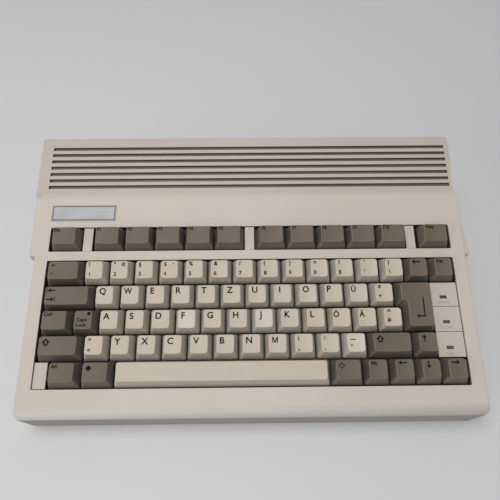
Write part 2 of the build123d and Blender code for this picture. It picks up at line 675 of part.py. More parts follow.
def key_openings(w0, w1, grow=0.0):
    """The openings for the main keys and for the function keys."""
    main_end = row_v(FUNCTION_ROW - 1)[1] + MAIN_OPENING_REAR
    function_start = row_v(FUNCTION_ROW)[0] - FUNCTION_OPENING_FRONT
    function_end = row_v(FUNCTION_ROW)[1] + FUNCTION_OPENING_REAR
    return [
        opening(-MAIN_OPENING_FRONT, main_end, w0, w1, grow),
        opening(function_start, function_end, w0, w1, grow),
    ]


def vent_cutters():
    """Long grooves across the vent block, each open to the inside along several stretches."""
    cutters = []
    segment = VENT_SLOT_LENGTH / VENT_SEGMENTS
    for index in range(VENT_COUNT):
        v = VENT_FIRST_V + index * VENT_PITCH
        front = v - (VENT_SLOT_WIDTH - VENT_THROUGH_WIDTH) / 2
        face = Pos(0, v) * Rectangle(VENT_SLOT_LENGTH, VENT_SLOT_WIDTH)
        groove = Pos(0, 0, VENT_W - VENT_GROOVE_DEPTH) * extrude(face, amount=VENT_WALL)
        cutters.append(DECK * groove)
        for part in range(VENT_SEGMENTS):
            x = (part + 0.5) * segment - VENT_SLOT_LENGTH / 2
            through = Box(segment - VENT_BRIDGE, VENT_THROUGH_WIDTH, 3 * VENT_WALL)
            cutters.append(DECK * Pos(x, front, VENT_W - VENT_WALL) * through)
    return cutters


def boss_column(x, y, z0, z1):
    return post(x, y, z0, z1, BOSS_RADIUS)


def top_case(form, hollow):
    """Upper shell with deck, vent block, cheeks, key openings, recess and screw bosses."""
    upper = block(-CASE_WIDTH, CASE_WIDTH, -CASE_DEPTH, CASE_DEPTH, PARTING_Z, 2 * CASE_HEIGHT)
    shell = (form - recess_cutter() - hollow) & upper
    low = PLATE_TOP_W + RIM_CLEARANCE
    rims = [DECK * rim for rim in key_openings(low, DECK_W - WALL / 2, OPENING_RIM_WALL)]
    bosses = [boss_column(x, y, PARTING_Z, CASE_HEIGHT) & hollow for x, y in CASE_SCREWS]
    shell = shell + rims + bosses
    drive_front = DRIVE_X1 + BUTTON_CLEARANCE
    shroud = slot_box(drive_front, CASE_WIDTH / 2 - WALL / 2, SHROUD_WALL) - recess_cutter()
    shell = shell + shroud
    cutters = [DECK * cut for cut in key_openings(2 * PLATE_TOP_W, 2 * VENT_W)]
    cutters += [post(x, y, PARTING_Z, PARTING_Z + SCREW_DEPTH, SCREW_RADIUS) for x, y in CASE_SCREWS]
    cutters += vent_cutters() + socket_windows()
    cutters.append(slot_box(drive_front - WALL, CASE_WIDTH))
    cutters.append(button_head(CASE_WIDTH, BUTTON_CLEARANCE))
    cutters.append(seam_groove())
    half = BADGE_WIDTH / 2 + BADGE_CLEARANCE
    deep = BADGE_DEPTH / 2 + BADGE_CLEARANCE
    recess = block(-half, half, -deep, deep, DECK_W - BADGE_RECESS, VENT_W)
    cutters.append(DECK * Pos(BADGE_X, BADGE_V) * recess)
    return shell.cut(*cutters)


def bottom_case(form, hollow):
    """Lower shell with its standoffs, keyboard posts, drive posts, screw bosses and trapdoor frame."""
    lower = block(-CASE_WIDTH, CASE_WIDTH, -CASE_DEPTH, CASE_DEPTH, 0, PARTING_Z)
    shell = (form - hollow) & lower
    columns = [post(x, y, FLOOR_Z, BOARD_Z, POST_RADIUS) for x, y in BOARD_POSTS]
    columns += [post(x, y, FLOOR_Z, DRIVE_Z, POST_RADIUS) for x, y in DRIVE_POSTS]
    columns += [boss_column(x, y, FLOOR_Z, PARTING_Z) & hollow for x, y in CASE_SCREWS]
    columns += [keyboard_post(x, v) for x, v in KEYBOARD_POSTS]
    shell = shell + columns + trapdoor_lugs()
    cutters = socket_windows() + trapdoor_cutters() + floor_vents() + [seam_groove()]
    for x, y in CASE_SCREWS:
        cutters.append(post(x, y, 0, PARTING_Z + SEAM_WIDTH, SCREW_RADIUS + SCREW_CLEARANCE))
        cutters.append(post(x, y, 0, FOOT_HEIGHT + SCREW_HEAD_HEIGHT, SCREW_HEAD_RADIUS + SCREW_CLEARANCE))
    return shell.cut(*cutters)


def keyboard_post(x, v):
    """A post from the floor to the underside of the keyboard's back plate."""
    y, z = deck_point(v, BACKPLATE_W)
    column = post(x, y, FLOOR_Z, z + POST_RADIUS, POST_RADIUS)
    keep = DECK * block(-CASE_WIDTH, CASE_WIDTH, -CASE_DEPTH, 2 * CASE_DEPTH, -CASE_DEPTH, BACKPLATE_W)
    return column & keep


def floor_vents():
    """Rows of slots in the floor under the motherboard."""
    return [
        Pos(FLOOR_VENT_X + index * FLOOR_VENT_PITCH, FLOOR_VENT_Y, FOOT_HEIGHT)
        * Box(FLOOR_VENT_WIDTH, FLOOR_VENT_LENGTH, 4 * WALL)
        for index in range(FLOOR_VENT_COUNT)
    ]


def case_screws():
    """Screws from below through the bottom case's bosses into the top case's."""
    screws = []
    for x, y in CASE_SCREWS:
        head = post(x, y, FOOT_HEIGHT, FOOT_HEIGHT + SCREW_HEAD_HEIGHT, SCREW_HEAD_RADIUS)
        shank = post(x, y, FOOT_HEIGHT, PARTING_Z + SCREW_DEPTH, SCREW_RADIUS)
        cross = block(x - SCREW_RADIUS, x + SCREW_RADIUS, y - CROSS_WIDTH, y + CROSS_WIDTH,
                      0, FOOT_HEIGHT + CROSS_DEPTH)
        screws.append(head + shank - cross - Pos(x, y, 0) * Rot(0, 0, 90) * Pos(-x, -y, 0) * cross)
    return group(screws)


def rubber_feet():
    """Round feet with a softened lower edge."""
    feet = []
    for x, y in FEET:
        foot = post(x, y, 0, FOOT_HEIGHT, FOOT_RADIUS)
        feet.append(chamfer(foot.edges().group_by(Axis.Z)[0], BASE_EDGE_CHAMFER))
    return group(feet)


def badge_plate():
    """The thin plate in the deck's recess, left blank."""
    plate = block(-BADGE_WIDTH / 2, BADGE_WIDTH / 2, -BADGE_DEPTH / 2, BADGE_DEPTH / 2,
                  DECK_W - BADGE_RECESS, DECK_W - BADGE_RECESS + BADGE_THICKNESS)
    plate = fillet(plate.edges().filter_by(Axis.Z), BADGE_RECESS)
    plate = chamfer(plate.faces().sort_by(Axis.Z)[-1].edges(), BADGE_CLEARANCE)
    return DECK * Pos(BADGE_X, BADGE_V) * plate


# ---- Trapdoor ----
def hinge_barrel(extra=0.0, reach=0.0, radius=HINGE_BARREL_RADIUS):
    half = DOOR_LENGTH / 2 + reach
    return rod_x(DOOR_X - half, DOOR_X + half, HINGE_Y, HINGE_Z, radius + extra)


def trapdoor_cutters():
    """The opening in the floor, the room for the hinge barrel and the holes for its pins."""
    half = DOOR_LENGTH / 2 + DOOR_GAP
    front = DOOR_Y - DOOR_WIDTH / 2 - DOOR_GAP
    hole = block(DOOR_X - half, DOOR_X + half, front, HINGE_Y + HINGE_BARREL_RADIUS + DOOR_GAP, 0, PARTING_Z)
    pins = hinge_barrel(HINGE_CLEARANCE, HINGE_PIN_LENGTH + DOOR_GAP, HINGE_PIN_RADIUS)
    catch = block(DOOR_X - LATCH_LENGTH / 2 - DOOR_GAP, DOOR_X + LATCH_LENGTH / 2 + DOOR_GAP,
                  front - FINGER_NOTCH, front + DOOR_GAP, 0, FOOT_HEIGHT + WALL / 2)
    return [hole, pins, catch]


def trapdoor_lugs():
    """The two ears on the floor that hold the hinge pins."""
    lugs = []
    for side in (-1, 1):
        x0 = DOOR_X + side * (DOOR_LENGTH / 2)
        x1 = DOOR_X + side * (DOOR_LENGTH / 2 + DOOR_GAP + HINGE_PIN_LENGTH + WALL)
        reach = HINGE_BARREL_RADIUS + RIB_WIDTH
        lugs.append(block(min(x0, x1), max(x0, x1), HINGE_Y - reach, HINGE_Y + reach, FLOOR_Z - WALL / 2,
                          HINGE_LUG_TOP))
    return lugs


def trapdoor_cover():
    """The cover plate with its hinge barrel, pins and snap tongue."""
    half = DOOR_LENGTH / 2
    front = DOOR_Y - DOOR_WIDTH / 2
    plate = block(DOOR_X - half, DOOR_X + half, front, HINGE_Y, FOOT_HEIGHT, FLOOR_Z)
    ribs = [
        block(DOOR_X - half + WALL, DOOR_X + half - WALL, y, y + RIB_WIDTH, FLOOR_Z, FLOOR_Z + RIB_HEIGHT)
        for y in (front + DOOR_WIDTH / 3, front + 2 * DOOR_WIDTH / 3)
    ]
    tongue = block(DOOR_X - LATCH_LENGTH / 2, DOOR_X + LATCH_LENGTH / 2, front, front + RIB_WIDTH,
                   FLOOR_Z, FLOOR_Z + 2 * RIB_HEIGHT)
    pins = hinge_barrel(0, HINGE_PIN_LENGTH, HINGE_PIN_RADIUS)
    return plate + hinge_barrel() + ribs + tongue + pins


# ---- Keyboard ----
def row_v(row):
    """Front and rear limits of a key row; row 1 is the front row, row 6 the function row."""
    start = (row - 1) * ROW_PITCH + (FUNCTION_ROW_GAP if row == FUNCTION_ROW else 0)
    return start, start + ROW_PITCH


def unit_x(units):
    """X of a place along a key row, given in key pitches from its left end."""
    return (units - ROW_UNITS / 2) * KEY_PITCH


def tapered(points_at, units, shift, height, wall=0.0):
    """A tapered solid between a key's outline at its lower edge and the one at a height."""
    sections = [
        Pos(0, 0, w) * make_face(Polyline(*points_at(units, shift, w, wall), close=True))
        for w in (0, height)
    ]
    return loft(sections, ruled=True)


def cap_points(units, shift, height, wall=0.0):
    """Corners of a straight key's outline at a height above its lower edge."""
    share = height / CAP_HEIGHT
    half = (units * KEY_PITCH - KEY_GAP) / 2 - wall - CAP_SIDE_INSET * share
    front = -(ROW_PITCH - KEY_GAP) / 2 + wall + (CAP_END_INSET + shift) * share
    rear = (ROW_PITCH - KEY_GAP) / 2 - wall - (CAP_END_INSET - shift) * share
    return [(-half, front), (half, front), (half, rear), (-half, rear)]


def return_points(units, shift, height, wall=0.0):
    """Corners of the angled return key's outline; its upper arm reaches further left."""
    share = height / CAP_HEIGHT
    gap = KEY_GAP / 2 + wall
    left = -units / 2 * KEY_PITCH + gap + CAP_SIDE_INSET * share
    step = left + RETURN_STEP * KEY_PITCH
    right = units / 2 * KEY_PITCH - gap - CAP_SIDE_INSET * share
    front = -ROW_PITCH + gap + (CAP_END_INSET + shift) * share
    middle = gap + (CAP_END_INSET + shift) * share
    rear = ROW_PITCH - gap - (CAP_END_INSET - shift) * share
    return [(step, front), (right, front), (right, rear), (left, rear), (left, middle), (step, middle)]


def key_body(points_at, units, shift, tilt, stems, dish):
    """A hollow tapered keycap with a dished or plain top and its guide stems."""
    cap = tapered(points_at, units, shift, CAP_HEIGHT + (DISH_ROOM if dish else 0))
    corners = [edge for edge in cap.edges() if edge.bounding_box().size.Z > CAP_EDGE_RADIUS]
    cap = fillet(corners, CAP_CORNER_RADIUS)
    if dish:
        width = units * KEY_PITCH - KEY_GAP - 2 * CAP_SIDE_INSET
        radius = width**2 / (8 * DISH_DEPTH) + DISH_DEPTH / 2
        bowl = Rot(90, 0, 0) * Cylinder(radius, CASE_DEPTH)
        cap -= Pos(0, shift, CAP_HEIGHT - DISH_DEPTH) * Rot(tilt, 0, 0) * Pos(0, 0, radius) * bowl
    cap = fillet(cap.faces().sort_by(Axis.Z)[-1].edges(), CAP_EDGE_RADIUS)
    roof = CAP_HEIGHT - CAP_ROOF
    cap -= tapered(points_at, units, shift, roof, CAP_WALL)
    return cap + [post(x, y, STEM_END_W, roof + CAP_ROOF / 2, STEM_RADIUS) for x, y in stems]


@functools.lru_cache(maxsize=None)
def straight_key(units, row, stems=((0.0, 0.0),), dish=True):
    """One keycap, centred on its place, for a row's profile."""
    shift, tilt = ROW_PROFILE[row]
    return key_body(cap_points, units, shift, tilt, stems, dish)


def key_at(start, end, row, **options):
    """A keycap that fills a stretch of a row, given in key pitches."""
    front, rear = row_v(row)
    cap = straight_key(end - start, row, **options)
    return DECK * Pos(unit_x((start + end) / 2), (front + rear) / 2) * cap


def key_bank(start, count, row, units):
    """A run of like keys."""
    return group(key_at(start + i * units, start + (i + 1) * units, row) for i in range(count))


def return_key():
    """The angled key that spans two rows."""
    start, end = RETURN_SPAN
    shift, tilt = ROW_PROFILE[3]
    cap = key_body(return_points, end - start, shift, tilt, (RETURN_STEM,), True)
    return DECK * Pos(unit_x((start + end) / 2), row_v(3)[1]) * cap


def stem_places():
    """Every stem's place in deck coordinates."""
    places = []
    for name, (start, end, row) in SINGLE_KEYS.items():
        middle = (row_v(row)[0] + row_v(row)[1]) / 2
        offsets = SPACE_STEMS if name == "space_bar" else ((0.0, 0.0),)
        places += [(unit_x((start + end) / 2) + dx, middle + dy) for dx, dy in offsets]
    for start, count, row, units in KEY_BANKS.values():
        middle = (row_v(row)[0] + row_v(row)[1]) / 2
        places += [(unit_x(start + (i + 0.5) * units), middle) for i in range(count)]
    start, end = RETURN_SPAN
    places.append((unit_x((start + end) / 2) + RETURN_STEM[0], row_v(3)[1] + RETURN_STEM[1]))
    return places


def sheet(w0, w1, inset=0.0):
    """A plate under the whole key grid."""
    half = ROW_UNITS * KEY_PITCH / 2 + OPENING_MARGIN + PLATE_OVERLAP - inset
    v0 = -MAIN_OPENING_FRONT - PLATE_OVERLAP + inset
    v1 = row_v(FUNCTION_ROW)[1] + FUNCTION_OPENING_REAR + PLATE_OVERLAP - inset
    return block(-half, half, v0, v1, w0, w1)


def field_limits(start, end, first_row, last_row):
    """X and v limits of a filler field, which reaches the opening's edge wherever no key lies between."""
    edge = ROW_UNITS * KEY_PITCH / 2 + OPENING_MARGIN - FIELD_GAP
    x0 = -edge if start == 0 else unit_x(start) + KEY_GAP / 2
    x1 = edge if end == ROW_UNITS else unit_x(end) - FIELD_RIGHT_GAP
    front, rear = row_v(first_row)[0], row_v(last_row)[1]
    v0 = front - MAIN_OPENING_FRONT + FIELD_GAP if first_row == 1 else front + KEY_GAP / 2
    v1 = rear - KEY_GAP / 2
    if last_row == FUNCTION_ROW:
        v0 = front - FUNCTION_OPENING_FRONT + FIELD_GAP
        v1 = rear + FUNCTION_OPENING_REAR - FIELD_GAP
    return x0, x1, v0, v1


def field(start, end, first_row, last_row):
    """A raised white filler field beside or between keys: a hollow box open below."""
    x0, x1, v0, v1 = field_limits(start, end, first_row, last_row)
    outer = block(x0, x1, v0, v1, PLATE_TOP_W, FIELD_TOP_W)
    outer = chamfer(outer.faces().sort_by(Axis.Z)[-1].edges(), FIELD_EDGE)
    return outer - block(x0 + FIELD_WALL, x1 - FIELD_WALL, v0 + FIELD_WALL, v1 - FIELD_WALL,
                         PLATE_TOP_W, FIELD_TOP_W - FIELD_WALL)


def lens_places():
    """Middles of the three lamp lenses in deck coordinates, from the front."""
    x = unit_x((LAMP_SPAN[0] + LAMP_SPAN[1]) / 2)
    return [(x, (row_v(row)[0] + row_v(row)[1]) / 2 + LENS_SHIFT) for row in LAMP_ROWS]


def keyboard_frame():
    """Guide plate with a collar for each stem, the white fields and a rim that stands on the dome sheet."""
    plate = sheet(PLATE_TOP_W - PLATE_THICKNESS, PLATE_TOP_W)
    rim = sheet(DOME_SHEET_W, PLATE_TOP_W - PLATE_THICKNESS)
    rim -= sheet(DOME_SHEET_W, PLATE_TOP_W - PLATE_THICKNESS, FRAME_RIM_WIDTH)
    places = stem_places()
    bore = STEM_RADIUS + STEM_CLEARANCE
    collar = bore + COLLAR_WALL
    collars = [post(x, v, PLATE_TOP_W - PLATE_THICKNESS, COLLAR_TOP_W, collar) for x, v in places]
    fields = [field(start, end, row, row) for start, end, row in FILLER_FIELDS]
    fields.append(field(*LAMP_SPAN, LAMP_ROWS[0], LAMP_ROWS[-1]))
    frame = plate.fuse(rim, *collars, *fields)
    cutters = [post(x, v, 2 * PLATE_TOP_W, 2 * COLLAR_TOP_W, bore) for x, v in places]
    cutters += [Pos(x, v) * Box(LENS_LENGTH + LENS_GAP, LENS_WIDTH + LENS_GAP, -3 * PLATE_TOP_W)
                for x, v in lens_places()]
    x0, x1, v0, v1 = field_limits(*LAMP_SPAN, LAMP_ROWS[0], LAMP_ROWS[-1])
    for row in LAMP_ROWS[1:]:
        v = row_v(row)[0]
        cutters.append(block(x0, x1, v - FIELD_LINE_WIDTH / 2, v + FIELD_LINE_WIDTH / 2,
                             FIELD_TOP_W - FIELD_LINE_WIDTH, FIELD_TOP_W))
    return DECK * frame.cut(*cutters)


def key_domes():
    """The rubber sheet with a dome under each stem, which is the key's spring."""
    base = sheet(DOME_SHEET_W - DOME_SHEET, DOME_SHEET_W)
    top = STEM_END_W - DOME_GAP
    domes = []
    for x, v in stem_places():
        height = top - DOME_SHEET_W
        dome = Pos(x, v, DOME_SHEET_W + height / 2) * Cone(DOME_RADIUS, DOME_RADIUS / 2, height)
        domes.append(dome)
    return DECK * base.fuse(*domes)


def keyboard_membrane():
    return DECK * sheet(DOME_SHEET_W - DOME_SHEET - MEMBRANE_THICKNESS, DOME_SHEET_W - DOME_SHEET)


def keyboard_backplate():
    """The steel plate under the membrane."""
    return DECK * sheet(BACKPLATE_W, BACKPLATE_W + BACKPLATE_THICKNESS, BACKPLATE_INSET)


def keyboard_ribbon():
    """The flat lead from the membrane's rear edge straight down to the motherboard."""
    rear = row_v(FUNCTION_ROW)[1] + FUNCTION_OPENING_REAR + PLATE_OVERLAP
    y, z = deck_point(rear, BACKPLATE_W + BACKPLATE_THICKNESS)
    x0 = RIBBON_X - RIBBON_WIDTH / 2
    x1 = RIBBON_X + RIBBON_WIDTH / 2
    drop = block(x0, x1, y + RIBBON_STAND, y + RIBBON_STAND + MEMBRANE_THICKNESS, BOARD_TOP, z)
    tab = block(x0, x1, y, y + RIBBON_STAND + MEMBRANE_THICKNESS, z - MEMBRANE_THICKNESS, z)
    tab = Pos(0, 0, MEMBRANE_THICKNESS) * tab
    plug = block(x0, x1, y + RIBBON_STAND - PLUG_DEPTH, y + RIBBON_STAND, BOARD_TOP, BOARD_TOP + PLUG_HEIGHT)
    return drop + tab + plug


def status_lamp_board():
    """A small board under the lamp fields with one lamp under each lens."""
    x0, x1, v0, v1 = field_limits(*LAMP_SPAN, LAMP_ROWS[0], LAMP_ROWS[-1])
    inset = FIELD_WALL + LENS_GAP
    board = block(x0 + inset, x1 - inset, v0 + inset, v1 - inset, PLATE_TOP_W, LAMP_BOARD_W)
    lamps = [
        Pos(x, v, LAMP_BOARD_W + LAMP_HEIGHT / 2) * Box(LENS_LENGTH, LENS_WIDTH, LAMP_HEIGHT)
        for x, v in lens_places()
    ]
    return DECK * (board + lamps)


def status_lenses():
    """Clear light pipes from the lamps to the surface of the fields."""
    low = LAMP_BOARD_W + LAMP_HEIGHT
    high = FIELD_TOP_W + LENS_PROUD
    lenses = []
    for x, v in lens_places():
        lens = Pos(x, v, (low + high) / 2) * Box(LENS_LENGTH, LENS_WIDTH, high - low)
        lenses.append(DECK * fillet(lens.edges().filter_by(Axis.Z), LENS_GAP))
    return group(lenses)


# ---- Sockets ----
def dsub_spacing(pins):
    """Distance between the two jack screws of a D-shaped socket."""
    return ((pins + 1) // 2 - 1) * DSUB_PIN_PITCH + DSUB_SCREW_MARGIN


def dsub_width(pins):
    return dsub_spacing(pins) + DSUB_EAR


def dsub_face(pins, inset=0.0):
    """The D outline, in the socket's own frame, as a face whose normal points out of the panel."""
    top = ((pins + 1) // 2 - 1) * DSUB_PIN_PITCH / 2 + DSUB_SHELL_MARGIN - inset
    tall = DSUB_SHELL_HEIGHT / 2 - inset
    bottom = top - 2 * tall * math.tan(math.radians(DSUB_TAPER))
    corners = [(-top, tall), (top, tall), (bottom, -tall), (-bottom, -tall)]
    face = make_face(Plane.XZ * Polyline(*corners, close=True))
    return fillet(face.vertices(), DSUB_SHELL_RADIUS - inset)


def dsub_socket(pins, male):
    """A board-mounted socket: body, flange, shell and either pins or a block with holes; +Y points out."""
    half = dsub_width(pins) / 2
    tall = DSUB_HEIGHT / 2
    flange = block(-half, half, -DSUB_FLANGE, 0, -tall, tall)
    back = WALL - SOCKET_RECESS + WINDOW_CLEARANCE
    end = half - HEX_ACROSS_FLATS
    body = block(-end, end, -DSUB_BODY_DEPTH, -back, -DSUB_LIFT, tall)
    body += block(-end, end, -back, 0, -tall, tall)
    shell = extrude(dsub_face(pins), amount=DSUB_SHELL_REACH, dir=(0, 1, 0))
    inside = DSUB_SHELL_WALL if male else 2 * DSUB_SHELL_WALL
    shell -= extrude(dsub_face(pins, inside), amount=DSUB_SHELL_REACH, dir=(0, 1, 0))
    long_row = (pins + 1) // 2
    places = [((i - (long_row - 1) / 2) * DSUB_PIN_PITCH, DSUB_ROW_PITCH / 2) for i in range(long_row)]
    places += [((i - (long_row - 2) / 2) * DSUB_PIN_PITCH, -DSUB_ROW_PITCH / 2) for i in range(long_row - 1)]
    socket = flange + body + shell
    if male:
        tip = DSUB_SHELL_REACH - DSUB_PIN_SETBACK
        return socket.fuse(*[rod_y(x, -DSUB_FLANGE, tip, z, DSUB_PIN_RADIUS) for x, z in places])
    core = extrude(dsub_face(pins, inside), amount=DSUB_SHELL_REACH, dir=(0, 1, 0))
    holes = [rod_y(x, DSUB_HOLE_FLOOR, 2 * DSUB_SHELL_REACH, z, DSUB_PIN_RADIUS) for x, z in places]
    return socket + core.cut(*holes)


def rear_place(x):
    """Where a rear socket's frame sits: the middle of its flange face."""
    return Pos(x, PANEL_Y - SOCKET_RECESS, PORT_Z)


def side_place(y):
    """The same for a socket in the right side, turned to point along +X."""
    return Pos(DECK_WIDTH / 2 - SOCKET_RECESS, y, PORT_Z) * Rot(0, 0, -90)


def jack_screws():
    """Hollow hexagonal screws beside every D-shaped socket."""
    screws = []
    places = [(rear_place(x), pins) for x, pins, male in REAR_PORTS]
    places += [(side_place(y), JOYSTICK_PINS) for y in JOYSTICK_Y]
    for place, pins in places:
        for side in (-1, 1):
            hexagon = Plane.XZ * RegularPolygon(HEX_ACROSS_FLATS / 2, 6, major_radius=False)
            screw = extrude(hexagon, amount=HEX_LENGTH, dir=(0, 1, 0))
            screw -= rod_y(0, 0, HEX_LENGTH, 0, HEX_BORE_RADIUS)
            screws.append(place * Pos(side * dsub_spacing(pins) / 2, 0, 0) * screw)
    return group(screws)


def phono_barrel(x):
    """The barrel and insulating collar of a phono jack in the rear panel."""
    end = CASE_DEPTH / 2
    barrel = rod_y(x, PANEL_Y - WALL, end, PORT_Z, JACK_RADIUS)
    barrel += rod_y(x, PANEL_Y - WALL, PANEL_Y + WINDOW_CLEARANCE, PORT_Z, JACK_COLLAR_RADIUS)
    return barrel - rod_y(x, PANEL_Y, end, PORT_Z, JACK_BORE_RADIUS)


def audio_jacks():
    """Two phono jacks on one body."""
    x0 = min(AUDIO_X) - JACK_BODY_WIDTH / 2
    x1 = max(AUDIO_X) + JACK_BODY_WIDTH / 2
    rear = PANEL_Y - WALL
    body = block(x0, x1, rear - JACK_BODY_DEPTH, rear, BOARD_TOP, PORT_Z + JACK_BODY_WIDTH / 2)
    return body + [phono_barrel(x) for x in AUDIO_X]


def video_modulator():
    """The modulator's metal can with its two phono jacks."""
    rear = PANEL_Y - WALL
    x0 = min(VIDEO_JACK_X) - MODULATOR_MARGIN
    x1 = max(VIDEO_JACK_X) + MODULATOR_MARGIN
    can = block(x0, x1, rear - MODULATOR_DEPTH, rear, BOARD_TOP, BOARD_TOP + MODULATOR_HEIGHT)
    return can + [phono_barrel(x) for x in VIDEO_JACK_X]


def power_socket():
    """The square power inlet with its pins."""
    half = POWER_SIZE / 2
    face = PANEL_Y - SOCKET_RECESS
    body = block(POWER_X - half, POWER_X + half, face - POWER_DEPTH, face, PORT_Z - DSUB_LIFT, PORT_Z + half)
    hollow = extrude(Plane.XZ * RectangleRounded(POWER_CAVITY, POWER_CAVITY, POWER_PIN_RADIUS),
                     amount=POWER_CAVITY_DEPTH, dir=(0, -1, 0))
    body -= Pos(POWER_X, face, PORT_Z) * hollow
    for index in range(POWER_PINS):
        angle = 2 * math.pi * index / POWER_PINS
        x = POWER_X + POWER_PIN_CIRCLE * math.sin(angle)
        z = PORT_Z + POWER_PIN_CIRCLE * math.cos(angle)
        body += rod_y(x, face - POWER_CAVITY_DEPTH, face - POWER_PIN_RADIUS, z, POWER_PIN_RADIUS)
    return body


def card_slot():
    """The guide cage of the memory-card slot behind the left side."""
    x0 = -CASE_WIDTH / 2 + WALL + CARD_MOUTH_CLEARANCE
    x1 = x0 + CARD_DEPTH + SHROUD_WALL
    half = CARD_WIDTH / 2
    top = BOARD_TOP + 2 * CARD_RAIL + CARD_SLOT_HEIGHT
    cage = block(x0, x1, CARD_Y - half - CARD_RAIL, CARD_Y + half + CARD_RAIL, BOARD_TOP, top)
    return cage - block(x0, x1 - SHROUD_WALL, CARD_Y - half, CARD_Y + half,
                        BOARD_TOP + CARD_RAIL, top - CARD_RAIL)


# ---- Boards ----
def motherboard():
    """The main board, drilled where posts and bosses pass it."""
    board = block(-BOARD_HALF_WIDTH, BOARD_HALF_WIDTH, BOARD_FRONT_Y, PANEL_Y - BOARD_REAR_MARGIN,
                  BOARD_Z, BOARD_TOP)
    holes = [post(x, y, 0, PARTING_Z, POST_RADIUS + POST_CLEARANCE) for x, y in DRIVE_POSTS]
    holes += [post(x, deck_point(v, BACKPLATE_W)[0], 0, PARTING_Z, POST_RADIUS + POST_CLEARANCE)
              for x, v in KEYBOARD_POSTS]
    holes += [post(x, y, 0, PARTING_Z, BOSS_RADIUS + POST_CLEARANCE) for x, y in CASE_SCREWS]
    return board.cut(*holes)


def chip(x, y, width, length):
    """A flat chip with a small turned corner mark."""
    body = Pos(x, y, BOARD_TOP + CHIP_HEIGHT / 2) * Box(width, length, CHIP_HEIGHT)
    mark = post(x - width / 2 + CHIP_MARK_MARGIN, y + length / 2 - CHIP_MARK_MARGIN,
                BOARD_TOP + CHIP_HEIGHT - CHIP_MARK_DEPTH, CASE_HEIGHT, CHIP_MARK_RADIUS)
    return body - mark


def logic_chips():
    return group(chip(x, BOARD_FRONT_Y + place, *size) for x, place, *size in LOGIC_CHIPS)


def memory_chips():
    return group(chip(x, y, *MEMORY_SIZE) for x, y in MEMORY_CHIPS)


def capacitors():
    """Upright capacitors on the motherboard."""
    cans = []
    for x, place, radius, height in CAPACITORS:
        can = post(x, BOARD_FRONT_Y + place, BOARD_TOP, BOARD_TOP + height, radius)
        cans.append(fillet(can.edges().group_by(Axis.Z)[-1], CAPACITOR_EDGE))
    return group(cans)


def shield_plate():
    """Folded steel cover on four legs over the main chips."""
    x0, x1 = SHIELD_X
    y0, y1 = SHIELD_Y
    z0 = BOARD_TOP + SHIELD_HEIGHT
    plate = block(x0, x1, y0, y1, z0, z0 + SHIELD_THICKNESS)
    legs = [
        block(min(x, x + step), max(x, x + step), y, y + SHIELD_LEG, BOARD_TOP, z0)
        for x, step in ((x0, SHIELD_THICKNESS), (x1, -SHIELD_THICKNESS))
        for y in (y0, y1 - SHIELD_LEG)
    ]
    return plate + legs


# ---- Floppy drive ----
def drive_shell(inset, z0, z1):
    half = DRIVE_WIDTH / 2 - inset
    front = DRIVE_FRONT_WALL if inset else 0
    return block(DRIVE_X0 + inset, DRIVE_X1 - front, DRIVE_Y - half, DRIVE_Y + half, z0, z1)


def rails(radius, x0, x1):
    """The head carriage's two guide rods, or the bores for them."""
    z = DRIVE_Z + (CARRIAGE_BASE + CARRIAGE_TOP) / 2
    return [rod_x(x0, x1, DRIVE_Y + side * RAIL_SPREAD, z, radius) for side in (-1, 1)]


def drive_chassis():
    """The drive's tray with front wall, disk guides, spindle bearing and carriage rails."""
    lid = DRIVE_Z + DRIVE_HEIGHT - DRIVE_COVER
    tray = drive_shell(0, DRIVE_Z, lid) - drive_shell(DRIVE_SHEET, DRIVE_Z + DRIVE_SHEET, lid)
    slot_z = DRIVE_Z + DISK_SLOT_LIFT
    half = DRIVE_WIDTH / 2 - DRIVE_SHEET
    for side in (-1, 1):
        y0 = DRIVE_Y + side * (DISK_SLOT_WIDTH / 2 - GUIDE_WIDTH)
        y1 = DRIVE_Y + side * half
        tray += block(DRIVE_X1 - DISK_LENGTH, DRIVE_X1 - DRIVE_FRONT_WALL, min(y0, y1), max(y0, y1),
                      slot_z - GUIDE_HEIGHT, slot_z)
    tray += post(SPINDLE_X, DRIVE_Y, DRIVE_Z, DRIVE_Z + DRIVE_SHEET + BEARING_HEIGHT, BEARING_RADIUS)
    tray -= post(SPINDLE_X, DRIVE_Y, 0, CASE_HEIGHT, SPINDLE_SHAFT_RADIUS + SPINDLE_CLEARANCE)
    rail_end = DRIVE_X0 + DRIVE_SHEET + RAIL_LENGTH
    tray = tray + rails(RAIL_RADIUS, DRIVE_X0, rail_end)
    for side in (-1, 1):
        y = DRIVE_Y + side * RAIL_SPREAD
        tray += block(rail_end - RAIL_LUG, rail_end, y - RAIL_LUG / 2, y + RAIL_LUG / 2, DRIVE_Z,
                      DRIVE_Z + CARRIAGE_TOP)
    tray -= slot_box(DRIVE_X1 - DRIVE_FRONT_WALL, DRIVE_X1)
    return tray - button_stem(DRIVE_X1, BUTTON_CLEARANCE)


def drive_cover():
    """The sheet that closes the drive's top."""
    return drive_shell(0, DRIVE_Z + DRIVE_HEIGHT - DRIVE_COVER, DRIVE_Z + DRIVE_HEIGHT)


